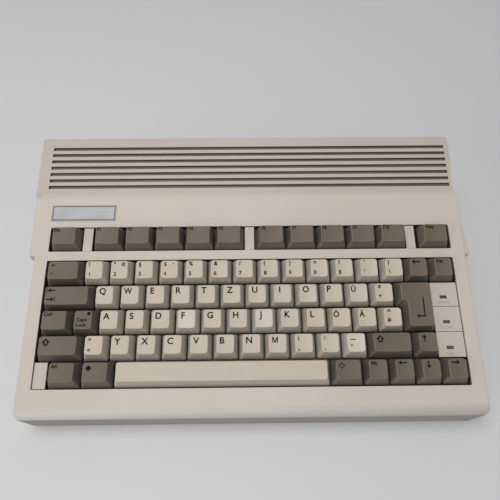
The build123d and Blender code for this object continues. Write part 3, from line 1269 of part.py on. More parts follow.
def drive_spindle():
    """Motor rotor, hub and shaft in one piece, with the pin that turns the disk."""
    base = DRIVE_Z + DRIVE_SHEET + BEARING_HEIGHT + BUTTON_CLEARANCE
    spindle = post(SPINDLE_X, DRIVE_Y, DRIVE_Z + SPINDLE_CLEARANCE, DRIVE_Z + HUB_TOP, SPINDLE_SHAFT_RADIUS)
    spindle += post(SPINDLE_X, DRIVE_Y, base, base + ROTOR_HEIGHT, ROTOR_RADIUS)
    top = DRIVE_Z + HUB_TOP
    spindle += post(SPINDLE_X, DRIVE_Y, base + ROTOR_HEIGHT, top, HUB_RADIUS)
    return spindle + post(SPINDLE_X + HUB_PIN_PLACE, DRIVE_Y, top, top + HUB_PIN_HEIGHT, HUB_PIN_RADIUS)


def head_carriage():
    """The carriage on its two rails, with one arm below and one above the disk."""
    x0 = DRIVE_X0 + CARRIAGE_X0
    x1 = x0 + CARRIAGE_LENGTH
    half = CARRIAGE_WIDTH / 2
    arm = ARM_WIDTH / 2
    body = block(x0, x1, DRIVE_Y - half, DRIVE_Y + half, DRIVE_Z + CARRIAGE_BASE, DRIVE_Z + CARRIAGE_TOP)
    body += block(x0, x0 + CARRIAGE_COLUMN, DRIVE_Y - arm, DRIVE_Y + arm, DRIVE_Z + CARRIAGE_BASE,
                  DRIVE_Z + UPPER_ARM_TOP)
    body += block(x0, x0 + ARM_REACH, DRIVE_Y - arm, DRIVE_Y + arm, DRIVE_Z + CARRIAGE_BASE,
                  DRIVE_Z + LOWER_ARM_TOP)
    body += block(x0, x0 + ARM_REACH, DRIVE_Y - arm, DRIVE_Y + arm, DRIVE_Z + UPPER_ARM_BASE,
                  DRIVE_Z + UPPER_ARM_TOP)
    return body.cut(*rails(RAIL_RADIUS + RAIL_CLEARANCE, DRIVE_X0, DRIVE_X1))


def button_head(x1, grow=0.0):
    """The eject button's head, or the hole for it in the case."""
    half = BUTTON_WIDTH / 2 + grow
    z0 = DRIVE_Z + BUTTON_LIFT
    x0 = CASE_WIDTH / 2 - BUTTON_SUNK - BUTTON_LENGTH
    return block(x0, x1, BUTTON_Y - half, BUTTON_Y + half, z0 - grow, z0 + BUTTON_HEIGHT + grow)


def button_stem(x1, grow=0.0):
    """The eject button's stem, or the hole for it in the drive's front wall."""
    half = BUTTON_STEM_WIDTH / 2 + grow
    z0 = DRIVE_Z + BUTTON_LIFT + (BUTTON_HEIGHT - BUTTON_STEM_HEIGHT) / 2 - grow
    x0 = DRIVE_X1 - DRIVE_FRONT_WALL if grow else DRIVE_X1 - BUTTON_STEM_LENGTH
    return block(x0, x1, BUTTON_Y - half, BUTTON_Y + half, z0, z0 + BUTTON_STEM_HEIGHT + 2 * grow)


def drive_eject_button():
    """Button head in the case's side, on a stem that reaches into the drive."""
    face = CASE_WIDTH / 2 - BUTTON_SUNK
    head = button_head(face)
    head = fillet(head.faces().sort_by(Axis.X)[-1].edges(), BUTTON_SUNK)
    return head + button_stem(face - BUTTON_LENGTH)


def drive_ribbon():
    """The flat lead from the drive's inner end down to the motherboard."""
    x1 = DRIVE_X0 - RIBBON_STAND
    y0 = DRIVE_Y - DRIVE_RIBBON_WIDTH / 2
    y1 = DRIVE_Y + DRIVE_RIBBON_WIDTH / 2
    top = DRIVE_Z + DRIVE_RIBBON_LIFT
    drop = block(x1 - MEMBRANE_THICKNESS, x1, y0, y1, BOARD_TOP, top)
    return drop + block(x1 - MEMBRANE_THICKNESS, DRIVE_X0, y0, y1, top - MEMBRANE_THICKNESS, top)


def build():
    """Every sub-part by name."""
    form = rounded_case()
    hollow = case_form(WALL) - recess_cutter(WALL)
    parts = {
        "top_case": top_case(form, hollow),
        "bottom_case": bottom_case(form, hollow),
        "badge_plate": badge_plate(),
        "rubber_feet": rubber_feet(),
        "case_screws": case_screws(),
        "trapdoor_cover": trapdoor_cover(),
        "keyboard_frame": keyboard_frame(),
        "keyboard_backplate": keyboard_backplate(),
        "keyboard_membrane": keyboard_membrane(),
        "key_domes": key_domes(),
        "keyboard_ribbon": keyboard_ribbon(),
        "status_lamp_board": status_lamp_board(),
        "status_lenses": status_lenses(),
        "motherboard": motherboard(),
        "logic_chips": logic_chips(),
        "memory_chips": memory_chips(),
        "capacitors": capacitors(),
        "shield_plate": shield_plate(),
        "power_socket": power_socket(),
        "audio_jacks": audio_jacks(),
        "video_modulator": video_modulator(),
        "joystick_ports": group(side_place(y) * dsub_socket(JOYSTICK_PINS, True) for y in JOYSTICK_Y),
        "port_jack_screws": jack_screws(),
        "card_slot": card_slot(),
        "drive_chassis": drive_chassis(),
        "drive_cover": drive_cover(),
        "drive_eject_button": drive_eject_button(),
        "drive_spindle": drive_spindle(),
        "head_carriage": head_carriage(),
        "drive_ribbon": drive_ribbon(),
        "return_key": return_key(),
    }
    for name, (x, pins, male) in zip(REAR_PORT_NAMES, REAR_PORTS):
        parts[name] = rear_place(x) * dsub_socket(pins, male)
    for name, (start, end, row) in SINGLE_KEYS.items():
        options = {"stems": SPACE_STEMS, "dish": False} if name == "space_bar" else {}
        parts[name] = key_at(start, end, row, **options)
    for name, bank in KEY_BANKS.items():
        parts[name] = key_bank(*bank)
    return parts


os.makedirs("parts", exist_ok=True)
for name, shape in build().items():
    export_step(shape, f"parts/{name}.step")
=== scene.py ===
import math

import bmesh
import bpy
import numpy as np
from mathutils import Euler, Matrix, Vector
from mathutils.bvhtree import BVHTree


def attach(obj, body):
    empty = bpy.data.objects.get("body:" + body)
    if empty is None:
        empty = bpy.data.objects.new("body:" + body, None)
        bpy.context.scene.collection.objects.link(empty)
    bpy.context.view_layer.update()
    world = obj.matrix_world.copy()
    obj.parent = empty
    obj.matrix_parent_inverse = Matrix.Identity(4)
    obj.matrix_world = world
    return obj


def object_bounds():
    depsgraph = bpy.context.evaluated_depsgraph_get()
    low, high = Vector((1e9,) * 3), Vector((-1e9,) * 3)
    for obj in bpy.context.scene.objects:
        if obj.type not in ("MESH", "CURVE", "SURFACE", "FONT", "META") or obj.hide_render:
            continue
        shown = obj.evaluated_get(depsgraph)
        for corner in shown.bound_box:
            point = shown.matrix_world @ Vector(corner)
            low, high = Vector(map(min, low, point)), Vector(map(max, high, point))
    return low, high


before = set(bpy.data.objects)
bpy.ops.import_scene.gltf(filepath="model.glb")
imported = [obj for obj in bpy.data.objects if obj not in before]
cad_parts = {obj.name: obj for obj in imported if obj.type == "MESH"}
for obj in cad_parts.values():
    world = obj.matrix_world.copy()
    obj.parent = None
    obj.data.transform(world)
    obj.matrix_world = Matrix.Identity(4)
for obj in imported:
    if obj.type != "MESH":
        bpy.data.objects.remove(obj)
cad_low, cad_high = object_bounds()

# Places on the machine are written in millimetres and in deck coordinates: x to the right, v up the slope
# from the front edge of the front key row, and w square to the slope from the lower edge of the keycaps.
MM = 0.001

# ---- The deck ----
SLOPE = math.radians(11.0)
DECK_Y = -99.0                  # front edge of the front key row
CASE_HEIGHT = 75.0
REAR_V = 204.0                  # rear top edge of the case, on the raised vent block
VENT_W = 2.7                    # surface of that block
DECK_Z = CASE_HEIGHT - REAR_V * math.sin(SLOPE) - VENT_W * math.cos(SLOPE)
DECK_ORIGIN = Vector((0.0, MM * DECK_Y, MM * DECK_Z))
DECK_RIGHT = Vector((1.0, 0.0, 0.0))
DECK_UP_SLOPE = Vector((0.0, math.cos(SLOPE), math.sin(SLOPE)))
DECK_NORMAL = Vector((0.0, -math.sin(SLOPE), math.cos(SLOPE)))
FORWARD = Vector((0.0, -1.0, 0.0))
BACKWARD = Vector((0.0, 1.0, 0.0))

# ---- The key grid: rows are counted from the front, and places along a row in keys from its left end ----
KEY_PITCH = 19.05
ROW_UNITS = 16.5                # length of a row in keys
KEY_GAP = 0.85
CAP_SIDE_INSET = 2.85           # a cap's top edge lies this far inside its base
CAP_END_INSET = 2.6
CAP_HALF_WIDTH = (KEY_PITCH - KEY_GAP) / 2 - CAP_SIDE_INSET
CAP_HALF_DEPTH = (KEY_PITCH - KEY_GAP) / 2 - CAP_END_INSET
CAP_LEAN = {1: 1.5, 2: 1.4, 3: 0.8, 4: 0.1, 5: 0.8, 6: 1.5}     # how far a cap's top is set back, by row
FUNCTION_ROW = 6
FUNCTION_ROW_GAP = 8.35         # between the number row and the function row
LIGHT_KEYS = {"number_keys", "top_letter_keys", "home_letter_keys", "bottom_letter_keys", "space_bar"}


def deck_place(x, v, w):
    """World point, in metres, of deck coordinates."""
    return DECK_ORIGIN + MM * (x * DECK_RIGHT + v * DECK_UP_SLOPE + w * DECK_NORMAL)


def unit_x(units):
    return (units - ROW_UNITS / 2) * KEY_PITCH


def row_middle(row):
    return (row - 0.5) * KEY_PITCH + (FUNCTION_ROW_GAP if row == FUNCTION_ROW else 0.0)


# ---- Colours ----
def linear(red, green, blue):
    """Scene colour of a display colour given from 0 to 255."""
    out = []
    for channel in (red, green, blue):
        c = channel / 255.0
        out.append(c / 12.92 if c <= 0.04045 else ((c + 0.055) / 1.055) ** 2.4)
    return (*out, 1.0)


def scaled(colour, gain):
    """A scene colour made lighter or darker by a factor."""
    return (*(min(1.0, gain * channel) for channel in colour[:3]), 1.0)


CASE_WARM = linear(205, 195, 181)
CASE_PINK = linear(207, 198, 187)
CASE_SPECK = linear(176, 163, 148)
# Painted highlight on the rounded front edge, bright at the left and fading to the right
FRONT_EDGE_HIGHLIGHT_LEFT = linear(205, 202, 198)
FRONT_EDGE_HIGHLIGHT_RIGHT = linear(182, 176, 169)
APRON_SHADE = linear(158, 152, 143)           # painted shade on the upright front face
# Dust and painted shade in the vent slots
SLOT_DUST_AND_SHADE = linear(112, 101, 88)
# Painted shade inside the key openings
OPENING_SHADE = linear(74, 66, 57)
LIP_LIGHT = linear(236, 226, 218)
VENT_BLOCK_TINT = (0.86, 0.85, 0.84, 1.0)
LIGHT_TOP = linear(200, 187, 167)
LIGHT_SKIRT = linear(189, 180, 167)
DARK_TOP = linear(104, 94, 76)
DARK_SKIRT = linear(100, 93, 82)
# Painted shade at the foot of the keycaps' sides
CAP_FOOT_SHADE = linear(60, 54, 46)
# Paler rim of the keycaps' tops: part wear, part painted highlight
CAP_RIM_WEAR_AND_HIGHLIGHT = linear(255, 250, 238)
CAP_WHITER = linear(238, 234, 226)
CAP_SPECK = linear(84, 75, 64)
FIELD = linear(201, 189, 178)
FIELD_PINK = linear(204, 194, 182)
FIELD_SEAM = linear(120, 108, 98)
GUIDE_SHADE = linear(30, 27, 24)
GUIDE_DUST = linear(48, 43, 38)
LENS_BROWN = (linear(84, 78, 64), linear(98, 91, 75))
LENS_GREEN = (linear(40, 62, 48), linear(54, 78, 60))
BADGE_METAL = (linear(174, 176, 175), linear(163, 165, 164))
BADGE_LINE = linear(96, 96, 94)
FLECK_TINT = (0.82, 0.8, 0.77, 1.0)
RUBBER_DUST = linear(120, 115, 108)
MASK_GREEN = (linear(30, 84, 52), linear(24, 70, 44))
TRACK_GREEN = linear(58, 122, 74)
SOLDER = linear(190, 186, 176)
NICKEL = linear(198, 196, 190)
JACK_BLACK = linear(34, 33, 32)
JACK_WHITE = linear(216, 212, 204)
JACK_RED = linear(168, 40, 34)
RING_BLACK = linear(48, 46, 44)
RING_YELLOW = linear(206, 166, 48)
TIN = linear(184, 182, 176)
PORT_STEEL = (linear(186, 184, 178), linear(160, 157, 150))
TABLE_WHITE = (linear(214, 214, 216), linear(217, 217, 218))
INK_BLACK = linear(24, 20, 19)
INK_PALE = linear(180, 167, 157)


# ---- Node materials ----
class Finish:
    """A node material built up from noise, masks and bumps in object space. Edges and depths are given in
    millimetres."""

    def __init__(self, name):
        self.material = bpy.data.materials.new(name)
        self.material.use_nodes = True
        self.nodes = self.material.node_tree.nodes
        self.links = self.material.node_tree.links
        self.shader = self.nodes["Principled BSDF"]
        self.place = self.nodes.new("ShaderNodeTexCoord").outputs["Object"]

    def link(self, value, socket):
        if isinstance(value, bpy.types.NodeSocket):
            self.links.new(value, socket)
        else:
            socket.default_value = value

    def math(self, operation, first, second=0.0, third=0.0):
        node = self.nodes.new("ShaderNodeMath")
        node.operation = operation
        for value, socket in zip((first, second, third), node.inputs):
            self.link(value, socket)
        return node.outputs["Value"]

    def mix(self, factor, first, second, blend="MIX"):
        node = self.nodes.new("ShaderNodeMix")
        node.data_type = "RGBA"
        node.blend_type = blend
        self.link(factor, node.inputs["Factor"])
        for value, name in ((first, "A"), (second, "B")):
            socket = [s for s in node.inputs if s.name == name and s.type == "RGBA"][0]
            self.link(value, socket)
        return [s for s in node.outputs if s.type == "RGBA"][0]

    def tinted(self, base, tint):
        return self.mix(1.0, base, tint, "MULTIPLY")

    def span(self, value, low, high, start=0.0, end=1.0):
        """Value remapped from low..high to start..end and held there."""
        node = self.nodes.new("ShaderNodeMapRange")
        self.link(value, node.inputs["Value"])
        for name, number in (("From Min", low), ("From Max", high), ("To Min", start), ("To Max", end)):
            node.inputs[name].default_value = number
        return node.outputs["Result"]

    # Patterns; their scales are in waves per metre.
    def noise(self, scale, detail=2.0, roughness=0.5, stretch=None):
        node = self.nodes.new("ShaderNodeTexNoise")
        self.links.new(self.stretched(stretch) if stretch else self.place, node.inputs["Vector"])
        node.inputs["Scale"].default_value = scale
        node.inputs["Detail"].default_value = detail
        node.inputs["Roughness"].default_value = roughness
        return node.outputs["Fac"]

    def stretched(self, scale):
        mapping = self.nodes.new("ShaderNodeMapping")
        self.links.new(self.place, mapping.inputs["Vector"])
        mapping.inputs["Scale"].default_value = scale
        return mapping.outputs["Vector"]

    def cells(self, scale):
        node = self.nodes.new("ShaderNodeTexVoronoi")
        self.links.new(self.place, node.inputs["Vector"])
        node.inputs["Scale"].default_value = scale
        return node.outputs["Distance"]

    def cloud(self, scale, detail=2.0, roughness=0.5, spread=0.15, strength=1.0):
        """Soft patches from zero to strength; a wider spread of the noise gives softer ones."""
        return self.span(self.noise(scale, detail, roughness), 0.5 - spread, 0.5 + spread, 0.0, strength)

    def spots(self, pattern, low, high, strength):
        """Scattered spots of a strength, which fade in where a noise rises from low to high."""
        return self.span(pattern, low, high, 0.0, strength)

    def gloss(self, pattern, low, high):
        """Roughness from low to high that follows a noise."""
        return self.span(pattern, 0.3, 0.7, low, high)

    def bump(self, height, strength, depth, below=None):
        node = self.nodes.new("ShaderNodeBump")
        node.inputs["Strength"].default_value = strength
        node.inputs["Distance"].default_value = MM * depth
        self.links.new(height, node.inputs["Height"])
        if below is not None:
            self.links.new(below, node.inputs["Normal"])
        return node.outputs["Normal"]

    # Masks, one where the finish changes and zero elsewhere.
    def dot(self, vector, direction):
        node = self.nodes.new("ShaderNodeVectorMath")
        node.operation = "DOT_PRODUCT"
        self.links.new(vector, node.inputs[0])
        node.inputs[1].default_value = direction
        return node.outputs["Value"]

    def along(self, direction, origin=(0.0, 0.0, 0.0)):
        """Distance of each point along a direction from an origin, in metres."""
        offset = self.nodes.new("ShaderNodeVectorMath")
        offset.operation = "SUBTRACT"
        self.links.new(self.place, offset.inputs[0])
        offset.inputs[1].default_value = origin
        return self.dot(offset.outputs["Vector"], direction)

    def deck(self):
        """Deck coordinates x, v and w of each point, in metres."""
        return [self.along(axis, DECK_ORIGIN) for axis in (DECK_RIGHT, DECK_UP_SLOPE, DECK_NORMAL)]

    def facing(self, direction, low, high):
        """Where faces look along a direction: rises while the cosine to it goes from low to high."""
        normal = self.nodes.new("ShaderNodeNewGeometry").outputs["Normal"]
        return self.span(self.dot(normal, direction), low, high)

    def past(self, distance, edge, soft):
        """Zero up to an edge and one from edge + soft on."""
        return self.span(distance, MM * edge, MM * (edge + soft))

    def before(self, distance, edge, soft):
        """One up to an edge and zero from edge + soft on."""
        return self.span(distance, MM * edge, MM * (edge + soft), 1.0, 0.0)

    def between(self, distance, low, high, soft=0.2):
        """One inside low..high and zero outside, with soft ends."""
        return self.all_of(self.past(distance, low - soft, soft), self.before(distance, high, soft))

    def all_of(self, *masks):
        """Product of masks and numbers."""
        out = masks[0]
        for mask in masks[1:]:
            out = self.math("MULTIPLY", out, mask)
        return out

    def finish(self, **settings):
        """Sets the shader's inputs, named with _ for a space, and gives the material."""
        for name, value in settings.items():
            self.link(value, self.shader.inputs[name.replace("_", " ")])
        return self.material


# ---- Case and keyboard ----
# Regions of the case: x to both sides of its middle, v from front to rear, w from floor to rim
VENT_BLOCK = {"v": 148.8, "w": 2.0}             # its top is behind and above these
FRONT_EDGE = {"v": -17.5, "w": -10.0}           # the rounding between deck and front face is in front of v; it carries a painted highlight
FRONT_EDGE_FADE = 5.0
LIGHT_FADE = {"x": -170.0, "length": 360.0}     # the painted highlight on the front edge fades along it, from its left end
APRON_V = -8.0                                  # the front face is in front of this
SLOTS = {"x": 165.0, "v": (156.8, 195.2), "w": (-4.0, 2.1)}
OPENINGS = {"x": 161.2, "v": (-2.6, 125.5), "w": (-6.2, -0.6)}
LIP = {"x": 160.0, "v": (-3.0, -0.6), "w": -3.5}    # front wall of the key opening, which catches light
LIP_STRENGTH = 0.8


def case_plastic():
    """The case: pinkish beige that has yellowed unevenly, with dust and painted shade in the vents, painted
    shade in the key openings and on the front face, and a painted highlight on the front edge.
    """
    f = Finish("case_plastic")
    x, v, w = f.deck()
    aside = f.math("ABSOLUTE", x)
    base = f.mix(f.cloud(9.0, detail=3.0, roughness=0.55, spread=0.12), CASE_WARM, CASE_PINK)
    specks = f.spots(f.noise(700.0, detail=0.0), 0.72, 0.8, strength=0.2)
    base = f.mix(specks, base, CASE_SPECK)
    block_top = f.all_of(f.past(v, VENT_BLOCK["v"], 1.0), f.facing(DECK_NORMAL, 0.9, 0.97),
                         f.past(w, VENT_BLOCK["w"], 0.4))
    base = f.mix(block_top, base, f.tinted(base, VENT_BLOCK_TINT))
    # Painted highlight on the rounding of the front edge, fading from left to right
    front_edge_highlight = f.all_of(f.before(v, FRONT_EDGE["v"], FRONT_EDGE_FADE), f.past(w, FRONT_EDGE["w"], 2.0))
    lit = f.mix(f.past(x, LIGHT_FADE["x"], LIGHT_FADE["length"]), FRONT_EDGE_HIGHLIGHT_LEFT, FRONT_EDGE_HIGHLIGHT_RIGHT)
    base = f.mix(front_edge_highlight, base, lit)
    # Painted shade on the upright front face
    shaded_front_face = f.all_of(f.facing(FORWARD, 0.80, 0.95), f.before(v, APRON_V, 2.0))
    base = f.mix(shaded_front_face, base, APRON_SHADE)
    # Dust and painted shade deep in the vent slots
    floor, rim = SLOTS["w"]
    slots = f.all_of(f.between(v, *SLOTS["v"]), f.before(aside, SLOTS["x"], 0.2), f.before(w, rim, 0.4),
                     f.past(w, floor, 1.0))
    base = f.mix(slots, base, SLOT_DUST_AND_SHADE)
    # Painted shade inside the key openings
    floor, rim = OPENINGS["w"]
    openings = f.all_of(f.between(v, *OPENINGS["v"]), f.before(aside, OPENINGS["x"], 0.4),
                        f.before(w, rim, 1.2), f.past(w, floor, 0.4))
    base = f.mix(openings, base, OPENING_SHADE)
    lip = f.all_of(f.between(v, *LIP["v"]), f.before(aside, LIP["x"], 0.2), f.facing(DECK_NORMAL, 0.6, 0.2),
                   f.past(w, LIP["w"], 0.5), LIP_STRENGTH)
    base = f.mix(lip, base, LIP_LIGHT)
    streaks = f.noise(30.0, detail=3.0, roughness=0.6, stretch=(1.0, 0.25, 1.0))
    swell = f.bump(f.noise(120.0, detail=1.0), strength=0.05, depth=0.4)
    grain = f.bump(f.noise(2300.0, roughness=0.6), strength=0.2, depth=0.08, below=swell)
    return f.finish(Base_Color=base, Roughness=f.gloss(streaks, 0.46, 0.56), Normal=grain)


# Height of the painted shade at the foot of a keycap's sides
CAP_FOOT_SHADE_HEIGHT = 3.5
CAP_REACH = 9.4                 # from a key's middle to just outside its base
WHITER_KEYS = ((5.75, 3), (8.75, 3), (12.25, 2))    # place along the row and row of keys that yellowed less
WHITER_STRENGTH = 0.22


def keycap(name, top, skirt, roughness, worn, whiter_keys=()):
    """Keycap plastic: smooth dish with a paler rim, part wear and part painted highlight, and painted shade
    at the foot of the sides.
    """
    f = Finish(name)
    x, v, w = f.deck()
    cloud = f.cloud(40.0, strength=0.6)
    side = f.mix(cloud, skirt, f.mix(0.3, skirt, top))
    # Painted shade at the foot of the sides
    base = f.mix(f.past(w, 0.0, CAP_FOOT_SHADE_HEIGHT), f.mix(0.45, skirt, CAP_FOOT_SHADE), side)
    dish = f.mix(cloud, top, f.mix(0.1, top, skirt))
    base = f.mix(f.facing(DECK_NORMAL, 0.86, 0.97), base, dish)
    # Paler rim: part wear, part painted highlight
    rim = f.all_of(f.facing(DECK_NORMAL, 0.35, 0.6), f.facing(DECK_NORMAL, 0.975, 0.9), worn)
    base = f.mix(rim, base, f.mix(0.4, top, CAP_RIM_WEAR_AND_HIGHLIGHT))
    for units, row in whiter_keys:
        middle_x, middle_v = unit_x(units), row_middle(row)
        key = f.all_of(f.between(x, middle_x - CAP_REACH, middle_x + CAP_REACH),
                       f.between(v, middle_v - CAP_REACH, middle_v + CAP_REACH), WHITER_STRENGTH)
        base = f.mix(key, base, CAP_WHITER)
    specks = f.spots(f.noise(1100.0, detail=0.0), 0.74, 0.8, strength=0.15)
    base = f.mix(specks, base, CAP_SPECK)
    gloss = f.gloss(f.noise(70.0, detail=4.0, roughness=0.6), roughness - 0.06, roughness + 0.06)
    grain = f.bump(f.noise(2800.0, detail=1.0, roughness=0.6), strength=0.12, depth=0.06)
    return f.finish(Base_Color=base, Roughness=gloss, Normal=grain)


GUIDE_W = -1.6                  # foot of the filler fields, on the guide plate
FIELD_SEAM_W = -0.2             # floor of the grooves between them
COLLAR_W = 0.7                  # above the fields only the key guides' collars stand


def field_plastic():
    """Bright filler fields on a guide plate that is dark with shade and dust between the keys."""
    f = Finish("field_plastic")
    w = f.along(DECK_NORMAL, DECK_ORIGIN)
    dust = f.span(f.noise(500.0, detail=3.0, roughness=0.7), 0.5, 0.75)
    shade = f.mix(dust, GUIDE_SHADE, GUIDE_DUST)
    bright = f.mix(f.cloud(16.0, detail=3.0), FIELD, FIELD_PINK)
    fields = f.mix(f.past(w, FIELD_SEAM_W, 0.3), FIELD_SEAM, bright)
    base = f.mix(f.past(w, GUIDE_W, 0.8), shade, fields)
    base = f.mix(f.math("GREATER_THAN", w, MM * COLLAR_W), base, shade)
    return f.finish(Base_Color=base, Roughness=f.span(dust, 0.0, 1.0, 0.46, 0.7),
                    Normal=f.bump(f.noise(2500.0, roughness=0.6), strength=0.2, depth=0.08))


def lens_finish():
    """Smoky light pipes, unlit: the rear one green and the other two brown."""
    f = Finish("lens_clear")
    v = f.along(DECK_UP_SLOPE, DECK_ORIGIN)
    smoke = f.noise(600.0, detail=1.0)
    patches = f.span(smoke, 0.4, 0.6)
    rear = f.past(v, row_middle(4) - KEY_PITCH / 2, 1.0)
    base = f.mix(rear, f.mix(patches, *LENS_BROWN), f.mix(patches, *LENS_GREEN))
    return f.finish(Base_Color=base, Roughness=0.15, Coat_Weight=0.6,
                    Normal=f.bump(smoke, strength=0.1, depth=0.05))


BADGE_X = -134.2
BADGE_V = 135.8
BADGE_WIDTH = 51.5
BADGE_DEPTH = 13.4
BADGE_LINE_INSET = 1.0
BADGE_LINE_HALF_WIDTH = 0.4
BADGE_LINE_STRENGTH = 0.85


def badge_plate():
    """Satin silver plate with a thin engraved line inside its edge, otherwise blank."""
    f = Finish("badge_metal")
    middle = deck_place(BADGE_X, BADGE_V, 0.0)
    past_line = []
    for axis, length in ((DECK_RIGHT, BADGE_WIDTH), (DECK_UP_SLOPE, BADGE_DEPTH)):
        aside = f.math("ABSOLUTE", f.along(axis, middle))
        past_line.append(f.math("SUBTRACT", aside, MM * (length / 2 - BADGE_LINE_INSET)))
    line = f.between(f.math("MAXIMUM", *past_line), -BADGE_LINE_HALF_WIDTH, BADGE_LINE_HALF_WIDTH, 0.1)
    base = f.mix(f.cloud(35.0, spread=0.2), *BADGE_METAL)
    base = f.mix(f.all_of(line, BADGE_LINE_STRENGTH), base, BADGE_LINE)
    brush = f.noise(900.0, detail=3.0, roughness=0.7, stretch=(0.04, 1.0, 1.0))
    cut = f.bump(line, strength=0.5, depth=0.05)
    return f.finish(Base_Color=base, Metallic=0.75, Roughness=f.gloss(brush, 0.5, 0.62),
                    Normal=f.bump(brush, strength=0.12, depth=0.03, below=cut))


# ---- Feet, screws, boards, drive and sockets ----
def moulded(name, colour, shade, roughness, grain=0.25):
    """Moulded plastic: cloudy colour, fine spark-eroded grain and handling marks in the gloss."""
    f = Finish(name)
    base = f.mix(f.cloud(14.0, detail=3.0), colour, shade)
    flecks = f.spots(f.noise(900.0, detail=1.0), 0.62, 0.78, strength=0.35)
    base = f.mix(flecks, base, f.tinted(base, FLECK_TINT))
    marks = f.noise(60.0, detail=4.0, roughness=0.6, stretch=(1.0, 0.35, 1.0))
    gloss = f.gloss(marks, roughness - 0.02, roughness + 0.02)
    spark_marks = f.bump(f.noise(2600.0, roughness=0.6), strength=grain, depth=0.08)
    return f.finish(Base_Color=base, Roughness=gloss, Normal=spark_marks)


def brushed(name, colour, roughness, stretch):
    """Metal with fine brush lines."""
    f = Finish(name)
    base = f.mix(f.cloud(45.0, spread=0.2, strength=0.5), colour, scaled(colour, 0.72))
    lines = f.noise(900.0, detail=3.0, roughness=0.7, stretch=stretch)
    gloss = f.gloss(lines, roughness - 0.1, roughness + 0.12)
    return f.finish(Base_Color=base, Metallic=1.0, Roughness=gloss,
                    Normal=f.bump(lines, strength=0.3, depth=0.04))


def port_metal():
    """Steel with handling scratches."""
    f = Finish("port_metal")
    scratches = f.noise(800.0, detail=4.0, roughness=0.7)
    base = f.mix(f.cloud(60.0), *PORT_STEEL)
    return f.finish(Base_Color=base, Metallic=1.0, Roughness=f.gloss(scratches, 0.28, 0.46),
                    Normal=f.bump(scratches, strength=0.25, depth=0.06))


def rubber(name, colour):
    """Dull rubber with fine pits and dust in patches."""
    f = Finish(name)
    dust = f.spots(f.noise(300.0, detail=4.0, roughness=0.7), 0.5, 0.75, strength=0.35)
    base = f.mix(dust, colour, RUBBER_DUST)
    pits = f.noise(1500.0)
    return f.finish(Base_Color=base, Roughness=f.gloss(pits, 0.7, 0.9),
                    Normal=f.bump(pits, strength=0.4, depth=0.1))


def circuit_board():
    """Green solder mask with pale tracks and plated holes."""
    f = Finish("board_green")
    lanes = f.noise(160.0, detail=0.0, stretch=(1.0, 0.08, 1.0))
    lines_per_lane, half_width, strength = 9.0, 0.12, 0.6
    tracks = f.math("COMPARE", f.math("FRACT", f.math("MULTIPLY", lanes, lines_per_lane)), 0.5, half_width)
    base = f.mix(f.all_of(tracks, strength), f.mix(f.cloud(25.0), *MASK_GREEN), TRACK_GREEN)
    holes = f.span(f.cells(260.0), 0.12, 0.16, 1.0, 0.0)
    return f.finish(Base_Color=f.mix(holes, base, SOLDER), Roughness=f.gloss(lanes, 0.3, 0.42),
                    Normal=f.bump(tracks, strength=0.2, depth=0.05))


SOCKET_REACH = 6.5              # of the rear sockets out of the rear panel
PANEL_Y = cad_high[1] / MM - SOCKET_REACH
RING_REACH = 0.5                # how far a jack's coloured ring stands out of the panel
RING_ROOT = 3.0                 # how far inside the panel's outer face it starts
AUDIO_MIDDLE_X = -54.0          # between the two audio jacks
VIDEO_MIDDLE_X = -146.5         # between the two barrels of the modulator


def jack_finish():
    """Nickel barrels on coloured insulating rings, black body behind the panel."""
    f = Finish("jack_finish")
    y = f.along(BACKWARD)
    ring = f.mix(f.before(f.along(DECK_RIGHT), AUDIO_MIDDLE_X - 0.1, 0.2), JACK_WHITE, JACK_RED)
    plated = f.past(y, PANEL_Y + RING_REACH, 0.2)
    base = f.mix(plated, ring, NICKEL)
    base = f.mix(f.before(y, PANEL_Y - RING_ROOT, 0.2), base, JACK_BLACK)
    scratches = f.noise(1200.0, detail=3.0, roughness=0.7)
    return f.finish(Base_Color=base, Metallic=plated, Roughness=f.gloss(scratches, 0.25, 0.42),
                    Normal=f.bump(scratches, strength=0.15, depth=0.04))


def modulator_finish():
    """Tinned can with one yellow and one black ringed barrel."""
    f = Finish("modulator_finish")
    y = f.along(BACKWARD)
    ring = f.mix(f.past(f.along(DECK_RIGHT), VIDEO_MIDDLE_X - 0.1, 0.2), RING_BLACK, RING_YELLOW)
    rings = f.past(y, PANEL_Y - RING_ROOT, 0.2)
    plated = f.past(y, PANEL_Y + RING_REACH, 0.2)
    base = f.mix(plated, f.mix(rings, TIN, ring), NICKEL)
    metal = f.math("MAXIMUM", plated, f.math("SUBTRACT", 1.0, rings))
    scratches = f.noise(700.0, detail=4.0, roughness=0.7)
    return f.finish(Base_Color=base, Metallic=metal, Roughness=f.gloss(scratches, 0.26, 0.45),
                    Normal=f.bump(scratches, strength=0.2, depth=0.05))


# ---- Which node wears which finish ----
KEY_FINISHES = {
    "key_light": keycap("key_light", LIGHT_TOP, LIGHT_SKIRT, roughness=0.55, worn=0.5,
                        whiter_keys=WHITER_KEYS),
    "key_dark": keycap("key_dark", DARK_TOP, DARK_SKIRT, roughness=0.58, worn=0.25),
}
SCREW_STEEL = brushed("screw_steel", linear(176, 172, 164), roughness=0.4, stretch=(1.0, 1.0, 0.2))
PLATE_STEEL = brushed("plate_steel", linear(172, 174, 172), roughness=0.45, stretch=(0.1, 1.0, 1.0))
CAN_METAL = brushed("can_metal", linear(120, 128, 142), roughness=0.4, stretch=(1.0, 1.0, 0.1))
CHIP_BLACK = moulded("chip_black", linear(38, 38, 40), linear(46, 46, 48), roughness=0.5, grain=0.4)
SOCKET_BLACK = moulded("socket_black", linear(34, 33, 33), linear(42, 41, 40), roughness=0.42)
FILM = moulded("film", linear(205, 202, 190), linear(196, 192, 180), roughness=0.3, grain=0.1)
